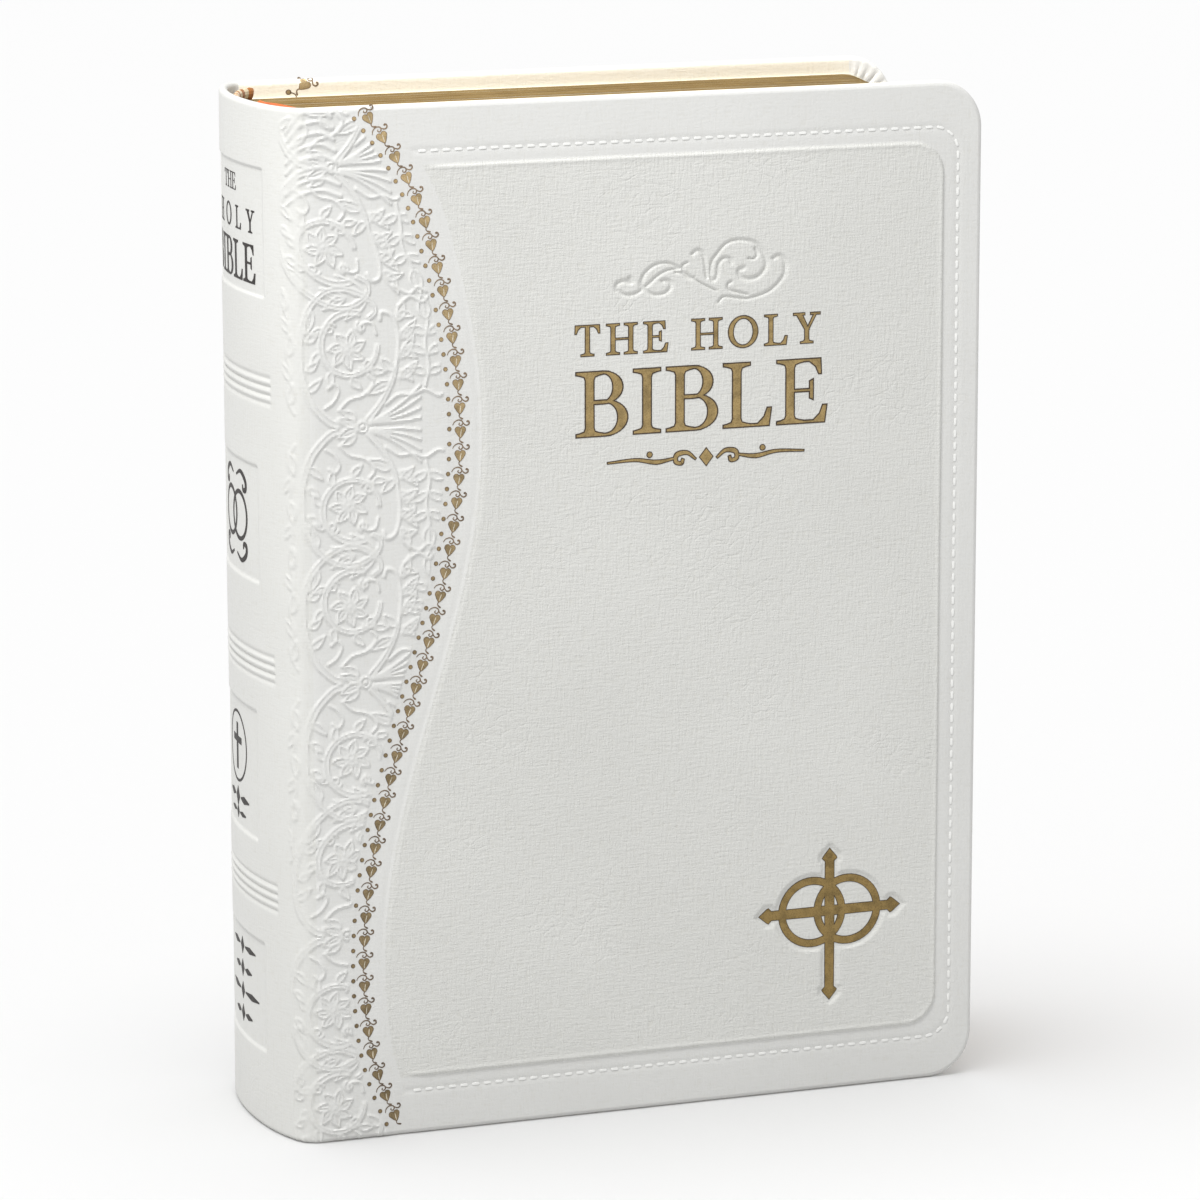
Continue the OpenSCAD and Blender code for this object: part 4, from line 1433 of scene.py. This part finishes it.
def capital(letter):
    """(width, outlines) of a capital; any other letter is a space."""
    if letter == "B":
        return 8.3, stem(2.15) + bowl(2.15, 7.5, 5.05, 10) + bowl(2.15, 8.3, 0, 5.47)
    if letter == "I":
        return 4.3, stem(2.15)
    if letter == "L":
        return 7.8, stem(2.15) + arm(2.15, 7.6, 0, 1, 2.7)
    if letter == "E":
        tick = outline_of([(5.5, 3.9), (5.95, 3.7), (5.95, 6.7), (5.5, 6.5)])
        arms = arm(2.15, 7.3, 10, -1, 2.3) + arm(2.15, 8.0, 0, 1, 2.6)
        return 8.2, stem(2.15) + arms + [box(2.15, 5.0, 5.7, 5.0 + THIN), tick]
    if letter == "T":
        right = arm(4.3, 8.5, 10, -1, 2.5)
        left = outline_of([(8.6 - a, b) for a, b in right[1]])
        return 8.6, stem(4.3, feet=(True, False)) + right + [left, box(1.0, 10 - THIN, 4.3, 10)]
    if letter == "H":
        return 10.2, stem(2.0) + stem(8.2) + [box(2.0, 4.9, 8.2, 4.9 + THIN)]
    if letter == "O":
        a = np.radians(np.linspace(0, 360, 41))
        outer = np.stack([5.1 + 5.1 * np.cos(a), 5 + 5.2 * np.sin(a)], axis=1)
        inner = np.stack([5.1 + (5.1 - ROUND) * np.cos(a), 5 + 4.6 * np.sin(a)], axis=1)
        return 10.2, band(outer, inner)
    if letter == "Y":
        arms = [outline_of([(0.9, 9.7), (2.8, 9.7), (5.2, 4.6), (3.9, 4.6)]),
                outline_of([(7.2, 9.7), (7.9, 9.7), (5.2, 4.6), (4.6, 4.6)]),
                box(-0.1, 9.55, 3.7, 10), box(6.0, 9.55, 9.2, 10)]
        return 9.1, stem(4.55, 0, 5.0, feet=(True, False)) + arms
    return 3.6, []


def word(text, cu, foot, tall, width):
    """Outlines of each letter, on a line at foot, centred at cu and spaced out to width."""
    k = tall / 10
    letters = [capital(c) for c in text]
    room = width / k - sum(w for w, _ in letters)
    space = room / (len(letters) - 1)
    at, out = cu - width / 2, []
    for w, shapes in letters:
        if shapes:
            out.append([s * k + (at, foot) for s in shapes])
        at += (w + space) * k
    return out


def stamp_outlined(foil, groups, rim, cell):
    """Gold shapes, each group with a thin dark rim round it: painted shade, standing for the shade in the
    stamped edge.
    """
    for shapes in groups:
        foil.stamp([grow(s, rim) for s in shapes], DARK_LIFT, DARK, cell)
        foil.stamp(shapes, GOLD_LIFT, GOLD, cell)


def diamond(cu, cz, half_w, half_h):
    return outline_of([(cu, cz + half_h), (cu - half_w, cz), (cu, cz - half_h), (cu + half_w, cz)])


def title_ornament(cu, cz):
    """A diamond with two scrolls and tapered rules."""
    groups = [[diamond(cu, cz, 1.5, 1.9)]]
    for side in (-1, 1):
        scroll = [(2.6, -0.3), (4.6, 1.2), (7.0, 0.9), (7.3, -0.7), (6.0, -1.1), (5.6, -0.2)]
        groups.append(brush([(cu + side * a, cz + b) for a, b in scroll], (0.3, 0.9, 0.7, 0.5)))
        rule = [(7.6, 0.1), (12, -0.5), (17, 0.3), (23.6, 0)]
        groups.append(brush([(cu + side * a, cz + b) for a, b in rule], (0.3, 0.8, 0.5, 0.2)))
        groups.append([oval(cu + side * 13.6, cz + 1.3, 0.55, 0.55, 12)])
    return groups


def emblem_shapes(cu, cz):
    """A cross with pointed arms behind two interlocked rings."""
    shapes = []
    for length, turn in ((ARM_TOP, 0), (ARM_SIDE, 90), (ARM_LOW, 180), (ARM_SIDE, 270)):
        half, point = BAR_W / 2, POINT_W / 2
        neck = length - POINT_W * 0.85
        right = [(half, 0), (half * 0.94, neck), (point, neck + 0.7), (point * 0.9, neck + 1.1)]
        left = [(-x, y) for x, y in right[::-1]]
        shapes.append(outline_of(turned(left[-1:] + right + [(0, length)] + left[:-1], cu, cz, turn)))
    for side in (-1, 1):
        shapes += ring(cu + side * RING_APART / 2, cz, RING_R, RING_R - RING_BAND)
    return shapes


def make_front_gold(place, title_paints, emblem_paints):
    title = Foil(place)
    for text, cu, foot, tall, wide, rim in TITLE_LINES:
        stamp_outlined(title, word(text, cu, foot, tall, wide), rim, 0.9)
    stamp_outlined(title, title_ornament(*ORNAMENT), ORNAMENT_RIM, 0.0)
    title.piece("title", title_paints, "front_cover", "title_foil", "title_gold")
    emblem = Foil(place)
    stamp_outlined(emblem, [emblem_shapes(*EMBLEM)], EMBLEM_RIM, 0.8)
    emblem.piece("emblem", emblem_paints, "front_cover", "cross_rings_foil", "emblem_gold")


def stamp_rule(foil, cu, cz, reach, width):
    """A diamond between two tapered rules."""
    foil.stamp([diamond(cu, cz, 0.62 * width, 0.8 * width)], PRINT_LIFT, 0)
    for side in (-1, 1):
        blade = [(cu + side * a, cz) for a in (width * 0.9, reach * 0.6, reach)]
        foil.stamp(brush(blade, (0.35, width * 0.62, 0.3)), PRINT_LIFT, 0)


def make_spine_print(work, paints):
    middle = SPINE_LENGTH / 2
    lowest, cross_z, rings_z, _ = ((low + high) / 2 for low, high in SPINE_PANELS)
    title_low = SPINE_PANELS[3][0]

    def place(u, z, lift):
        run = middle - u
        x, y = spine_at(run, work.spine(run, z) + lift)
        return np.stack([JOINT_X + x, y, z], axis=1)

    foil = Foil(place)
    # (text, its middle, its foot over the panel's, height, width, how much bolder)
    lines = (
        ("THE", -4.0, 22.2, 3.8, 10.5, 0.03),
        ("HOLY", -2.0, 13.8, 5.0, 29, 0.09),
        ("BIBLE", -4.2, 2.6, 8.4, 33.4, 0.15),
    )
    for text, cu, base, tall, wide, bolder in lines:
        for shapes in word(text, cu, title_low + base, tall, wide):
            foil.stamp([grow(s, bolder) for s in shapes], PRINT_LIFT, 0, 0.8)
    curl = [(1.4, 9.0), (5.0, 10.2), (8.4, 8.6), (8.8, 6.6), (7.0, 6.2), (6.6, 7.4)]
    for side in (-1, 1):
        foil.stamp(ring(LABEL_SHIFT + side * 3.9, rings_z, 5.9, 4.9), PRINT_LIFT, 0, 0.9)
        for up in (-1, 1):
            line = [(LABEL_SHIFT + side * a, rings_z + up * b) for a, b in curl]
            foil.stamp(brush(line, (0.5, 1.3, 1.3, 0.6)), PRINT_LIFT, 0)
    cu = CROSS_SHIFT
    cross = [box(cu - 0.8, cross_z - 1.8, cu + 0.8, cross_z + 9.0)]
    cross.append(box(cu - 4.0, cross_z + 4.4, cu + 4.0, cross_z + 6.0))
    foil.stamp(ring(cu, cross_z + 3.6, 8.4, 7.8), PRINT_LIFT, 0, 0.9)
    foil.stamp(cross, PRINT_LIFT, 0, 0.9)
    # (middle, height, half length, width of the diamond)
    rules = [(cu, cross_z - 8.2, 9.6, 3.0), (cu, cross_z - 11.8, 7.0, 2.0)]
    for row, reach in ((8.2, 10.4), (2.8, 7.6), (-2.6, 12.4), (-8.0, 7.6)):
        rules.append((LABEL_SHIFT, lowest + row, reach, 2.6))
    for rule in rules:
        stamp_rule(foil, *rule)
    foil.piece("spine_print", paints, "book_block", "spine_foil", "spine_foil")


# ---------------------------------------------------------------- paper
PAGE_ROUND, PAGE_HALF = 5.0, 23.7
FORE_HOLLOW = 3.0
BUNDLES = 24


def page_spine(y):
    return -PAGE_ROUND * math.sqrt(max(0.0, 1 - (y / PAGE_HALF) ** 2))


def page_fore(y):
    return PAGE_END - FORE_HOLLOW * (1 - (y / FACE) ** 2)


def page_loop(y, shrink, waves):
    """Outline of the leaves at y as (u, z), from the spine at the tail round to the head."""
    right, low, high = page_fore(y) - shrink, PAGE_LOW + shrink, PAGE_HIGH - shrink
    r = PAGE_CORNER_R
    left = page_spine(y)
    tail = [(u, low) for u in np.linspace(left, right - r, 12)[:-1]]
    foot = oval(right - r, low + r, r, r, 8, -90, 0)
    fore = [(right, z) for z in np.linspace(low + r, high - r, 14)[1:-1]]
    top = oval(right - r, high - r, r, r, 8, 0, 90)
    head = [(u, high) for u in np.linspace(right - r, left, 12)[1:]]
    line = np.vstack([tail, foot, fore, top, head])
    t = np.linspace(0, 1, len(line))
    ripple = sum(a * np.sin(b * t * math.tau + c) for a, b, c in waves)
    middle = np.array([(left + right) / 2, (low + high) / 2])
    away = line - middle
    away /= np.abs(away).max(axis=1, keepdims=True)
    inside = (line[:, 0] > left + 1)[:, None]
    return line + away * ripple[:, None] * inside


def make_section(number, rng, paints):
    """A group of leaves in thin bundles whose edges stand out unevenly by a few hundredths.
    The paints are for the edges, for the leaves, and for the first leaf's print."""
    node = f"section_{number:02d}"
    low, high = cad_box_mm(node)
    y0, y1 = low[1] + 0.005, high[1] - 0.005
    pitch = (y1 - y0) / BUNDLES
    loops = []
    slow = [(rng.uniform(0, 0.04), rng.integers(1, 4), rng.uniform(0, 6)) for _ in range(2)]
    for k in range(BUNDLES):
        reach = rng.normal(0, 0.02) + (0.05 if rng.random() < 0.06 else 0)
        waves = slow + [(0.018, rng.integers(2, 9), rng.uniform(0, 6))]
        base = y0 + pitch * k
        if k:
            loops.append((base, page_loop(base, 0.075, slow)))
        loops.append((base + pitch * 0.22 * (k > 0), page_loop(base, -reach, waves)))
        loops.append((base + pitch * (0.78 if k < BUNDLES - 1 else 1), page_loop(base, -reach, waves)))
    count = len(loops[0][1])
    points = np.concatenate([
        np.stack([JOINT_X + line[:, 0], np.full(count, y), line[:, 1]], axis=1) for y, line in loops])
    flat = np.concatenate([line for _, line in loops])
    index = np.arange(len(points)).reshape(len(loops), count)
    gilt_edge, plain, printed = range(3)
    faces, paint_of = [], []
    for one, two in zip(index, index[1:]):
        faces += strip_quads(one, two, closed=True)
        paint_of += [gilt_edge] * (count - 1) + [plain]
    faces += [index[0].tolist(), index[-1].tolist()]
    paint_of += [printed if number == 1 else plain, plain]
    piece = make_piece(f"pages_{number:02d}", points, faces, paints, flat, paint_of, crease=60)
    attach(piece, "book_block")
    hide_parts(node)


def make_sheet(name, us, near, far, front, paints, gilt=False):
    """A leaf between two depths, near and far functions of (u, z), on the front or the back."""
    u, z = np.meshgrid(us, np.linspace(PAGE_LOW, PAGE_HIGH, 60), indexing="ij")
    u, z = round_corners(u, z, PAGE_END, PAGE_LOW, PAGE_HIGH, PAGE_CORNER_R)
    index = np.arange(u.size).reshape(u.shape)
    points = [on_cover(u, depth(u, z), z, front) for depth in (far, near)]
    flat = np.stack([u.ravel(), z.ravel()], axis=1)
    faces = grid_quads(index) + [f[::-1] for f in grid_quads(index + u.size)]
    loop = np.concatenate([index[:, 0], index[-1, 1:], index[-2::-1, -1], index[0, -2:0:-1]])[::-1]
    edges = strip_quads(loop, loop + u.size, closed=True)
    paint_of = [0] * len(faces) + [int(gilt)] * len(edges)
    flat = np.concatenate([flat, flat])
    return make_piece(name, np.concatenate(points), faces + edges, paints, flat, paint_of, crease=50)


def make_pastedown(side, paints):
    us = np.concatenate([np.linspace(0.3, 6, 13), np.linspace(6, PAGE_END, 50)[1:]])
    thick = TURN_IN_FACE - PASTEDOWN_FACE

    def ripple(u, z):
        return 0.03 * np.sin(u * 0.11 + z * 0.05) * np.sin(z * 0.07 + 1)

    def near(u, z):
        return inner_face(u) - thick - 0.03 + ripple(u, z)

    def far(u, z):
        return inner_face(u) + 0.02

    piece = make_sheet(side + "_endpaper", us, near, far, side == "front", paints)
    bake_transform(piece)
    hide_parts(side + "_pastedown")


def make_leaf(node, name, paints, wave):
    """An endleaf; wave sets how it ripples."""
    low, high = cad_box_mm(node)
    near, far = sorted((abs(low[1]), abs(high[1])))
    us = np.concatenate([np.linspace(0.3, LEAF_BEND, 22), np.linspace(LEAF_BEND, PAGE_END, 50)[1:]])

    def ripple(u, z):
        return 0.035 * np.sin(u * 0.06 + wave) * np.sin(z * 0.045 + wave * 2)

    def near_face(u, z):
        return near + 0.06 + ripple(u, z)

    def far_face(u, z):
        return far - 0.06 + ripple(u, z)

    piece = make_sheet(name, us, near_face, far_face, low[1] < 0, paints, gilt=True)
    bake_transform(piece)
    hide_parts(node)


# ---------------------------------------------------------------- bands and ribbon
BAND_SPREAD = 84.0
BAND_R = 1.5
BAND_RIB = 1.7
BAND_DEEP = 9.0
BAND_END = 3.2


def make_band(node, head, paints):
    """A striped band sewn over a cord, bent round the pages' spine."""
    angle = np.radians(np.linspace(-BAND_SPREAD, BAND_SPREAD, 600))
    x, y = BAND_END - BAND_DEEP * np.cos(angle), (PAGE_HALF - 0.6) * np.sin(angle)
    run = run_along(x, y)
    ribs = int(run[-1] / BAND_RIB)
    per_rib, around = 6, 14
    at = np.linspace(0, run[-1], ribs * per_rib + 1)
    px, py = np.interp(at, run, x), np.interp(at, run, y)
    across = sideways(np.stack([px, py], axis=1))
    way = np.stack([across[:, 1], -across[:, 0]], axis=1)
    middle = PAGE_HIGH + BAND_R if head else PAGE_LOW - BAND_R
    swell = 0.86 + 0.14 * np.abs(np.sin(np.pi * np.arange(len(at)) / per_rib))
    points = []
    for k in range(around):
        a = 2 * math.pi * k / around
        side, rise = 0.85 * math.cos(a) * swell, BAND_R * math.sin(a) * swell
        slant = 0.25 * math.sin(a)
        points.append(np.stack([
            JOINT_X + px + across[:, 0] * side + way[:, 0] * slant,
            py + across[:, 1] * side + way[:, 1] * slant, middle + rise], axis=1))
    faces = tube_faces(np.arange(around * len(at)).reshape(around, len(at)))
    paint_of = [(k // per_rib) % 2 for k in range(len(at) - 1)] * around + [0, 0]
    points = np.concatenate(points)
    piece = make_piece(node + "_sewn", points, faces, paints, paint_of=paint_of, crease=60)
    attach(piece, "book_block")
    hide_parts(node)


RIBBON_W, RIBBON_T = 6.0, 0.22
DOWN_X, DOWN_Y = 1.6, -19.5


def make_ribbon(paint):
    """The marker: glued in the hollow, over the band, then down between the first pages."""
    # (x from the joint, y, z, the way its width points in degrees)
    path = smooth([
        (-6.0, -10.5, 221, 90), (-6.0, -10.5, 229, 90), (-5.9, -10.5, 232.6, 90),
        (-4.9, -10.6, 234.4, 90), (-3.4, -10.8, 234.2, 92), (-0.9, -11.5, 233.5, 120),
        (0.9, -13.3, 232.8, 150), (DOWN_X, -15.8, 232.2, 180), (DOWN_X, -18.0, 231.8, 180),
        (DOWN_X, -19.1, 230.9, 180),
        *((DOWN_X, DOWN_Y, z, 180) for z in (229.9, 228, 224, 216, 203, 182, 150, 105, 60.2))])
    way = np.gradient(path[:, :3], axis=0)
    way /= np.linalg.norm(way, axis=1, keepdims=True)
    yaw = np.radians(path[:, 3])
    wide = np.stack([np.cos(yaw), -np.sin(yaw), 0 * yaw], axis=1)
    wide -= way * np.sum(wide * way, axis=1, keepdims=True)
    wide /= np.linalg.norm(wide, axis=1, keepdims=True)
    flat_way = np.cross(way, wide)
    run = run_along(*path[:, :3].T)
    lines, flats = [], []
    across = np.linspace(-RIBBON_W / 2, RIBBON_W / 2, 9)
    for face in (1, -1):
        for a in across[::face]:
            bow = 0.06 * math.cos(a / RIBBON_W * math.pi)
            lines.append(path[:, :3] + wide * a + flat_way * (face * RIBBON_T / 2 + bow))
            flats.append(np.stack([np.full(len(run), a), run], axis=1))
    faces = tube_faces(np.arange(len(lines) * len(path)).reshape(len(lines), len(path)))
    points = np.concatenate(lines)
    points[:, 0] += JOINT_X
    piece = make_piece("ribbon", points, faces, [paint], np.concatenate(flats), crease=60)
    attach(piece, "book_block")
    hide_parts("ribbon_marker")


# ---------------------------------------------------------------- the book
CREAM = (0.90, 0.85, 0.70)
PAGE_WHITE = (0.86, 0.83, 0.75)
INK = (0.10, 0.085, 0.07)

leathers = [leather_paint(name) for name in LEATHERS]
leather, leather_smooth, leather_spine, stitch_leather_painted_highlight, leather_turned, leather_inside = leathers
gilt = gilt_paint()
endpaper = paper_paint("endpaper_cream", CREAM)
page_paper = paper_paint("page_paper", PAGE_WHITE)
first_page = printed_paint("first_page_print", PAGE_WHITE, INK)
# Painted shade: the hearts' gold is painted darker towards the tail (tail and middle).
heart_gold = foil_paint("heart_gold", (0.56, 0.42, 0.225), (0.42, 0.30, 0.14), tail=0.42, middle=0.57)
# Painted shade: the dark rim round the title's and the emblem's gold, for the shade in their stamped
# edges.
rim_painted_shade = foil_paint("rim_painted_shade", (0.07, 0.046, 0.028), (0.04, 0.026, 0.016), 0.45, 0.3)
# Brown foil of the border's curls and dots, darkened with painted shade, and the rim of painted shade
# round its hearts; also painted darker towards the tail.
curl_brown_and_painted_shade = foil_paint("curl_brown_and_painted_shade", (0.28, 0.20, 0.13), (0.18, 0.12, 0.07), 0.45, 0.4, 0.55, 0.72)
vein_pale = foil_paint("vein_pale", (0.74, 0.68, 0.55), (0.5, 0.42, 0.3), 0.45, 0.3)
title_gold = foil_paint("title_gold", (0.40, 0.288, 0.125), (0.30, 0.205, 0.08))
emblem_gold = foil_paint("emblem_gold", (0.285, 0.196, 0.07), (0.21, 0.135, 0.045))
spine_brown = foil_paint("spine_brown", (0.024, 0.018, 0.015), (0.012, 0.009, 0.008), 0.45, 0.3)

work = Leatherwork()
make_camera()
make_stage()


def place_on(side):
    """How (u, z, lift) lies on the relief of a cover."""
    front = side == "front"
    return lambda u, z, lift: on_cover(u, FACE + work.cover(u, z, front) + lift, z, front)


places = {side: place_on(side) for side in ("front", "back")}
cover_paints = [leather, leather_inside, leather_turned, leather_smooth]
make_cover("front", work, cover_paints, coarse=1.0)
make_cover("back", work, cover_paints, coarse=1.35)
make_spine(work, leather_spine)
for side, place in places.items():
    make_stitch_marks(side, place, stitch_leather_painted_highlight)
for side, place in places.items():
    make_border(side, place, [heart_gold, curl_brown_and_painted_shade, vein_pale])
make_front_gold(places["front"], [title_gold, rim_painted_shade], [emblem_gold, rim_painted_shade])
make_spine_print(work, [spine_brown])

dice = np.random.default_rng(7)
for number in range(1, 13):
    make_section(number, dice, [gilt, page_paper, first_page])
for side in places:
    make_pastedown(side, [endpaper])
presentation = printed_paint("presentation_print", PAGE_WHITE, INK, 1)
make_leaf("front_flyleaf", "flyleaf_front", [endpaper, gilt], 0.3)
make_leaf("presentation_leaf", "leaf_presentation", [presentation, gilt], 1.4)
make_leaf("title_leaf", "leaf_title", [presentation, gilt], 2.6)
make_leaf("back_flyleaf", "flyleaf_back", [endpaper, gilt], 3.9)
band_orange = cloth_paint("band_orange", (0.40, 0.14, 0.015), 0.00035)
band_cream = cloth_paint("band_cream", (0.78, 0.66, 0.44), 0.00035)
make_band("head_band", True, [band_orange, band_cream])
make_band("tail_band", False, [band_orange, band_cream])
make_ribbon(ribbon_paint())

hidden_paints = {
    "board": board_paint("grey_board", (0.36, 0.31, 0.25)),
    "inlay": board_paint("spine_card", (0.55, 0.50, 0.42)),
    "tube": board_paint("kraft_paper", (0.42, 0.28, 0.15)),
    "mull": cloth_paint("mull_gauze", (0.75, 0.70, 0.58), 0.0009),
    "thread": cloth_paint("linen_thread", (0.80, 0.77, 0.68), 0.0004),
}
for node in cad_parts.values():
    for part, paint in hidden_paints.items():
        if part in node.name and not node.hide_render:
            for material_slot in node.material_slots:
                material_slot.material = paint

make_lights()
bpy.context.scene.view_settings.view_transform = "Standard"
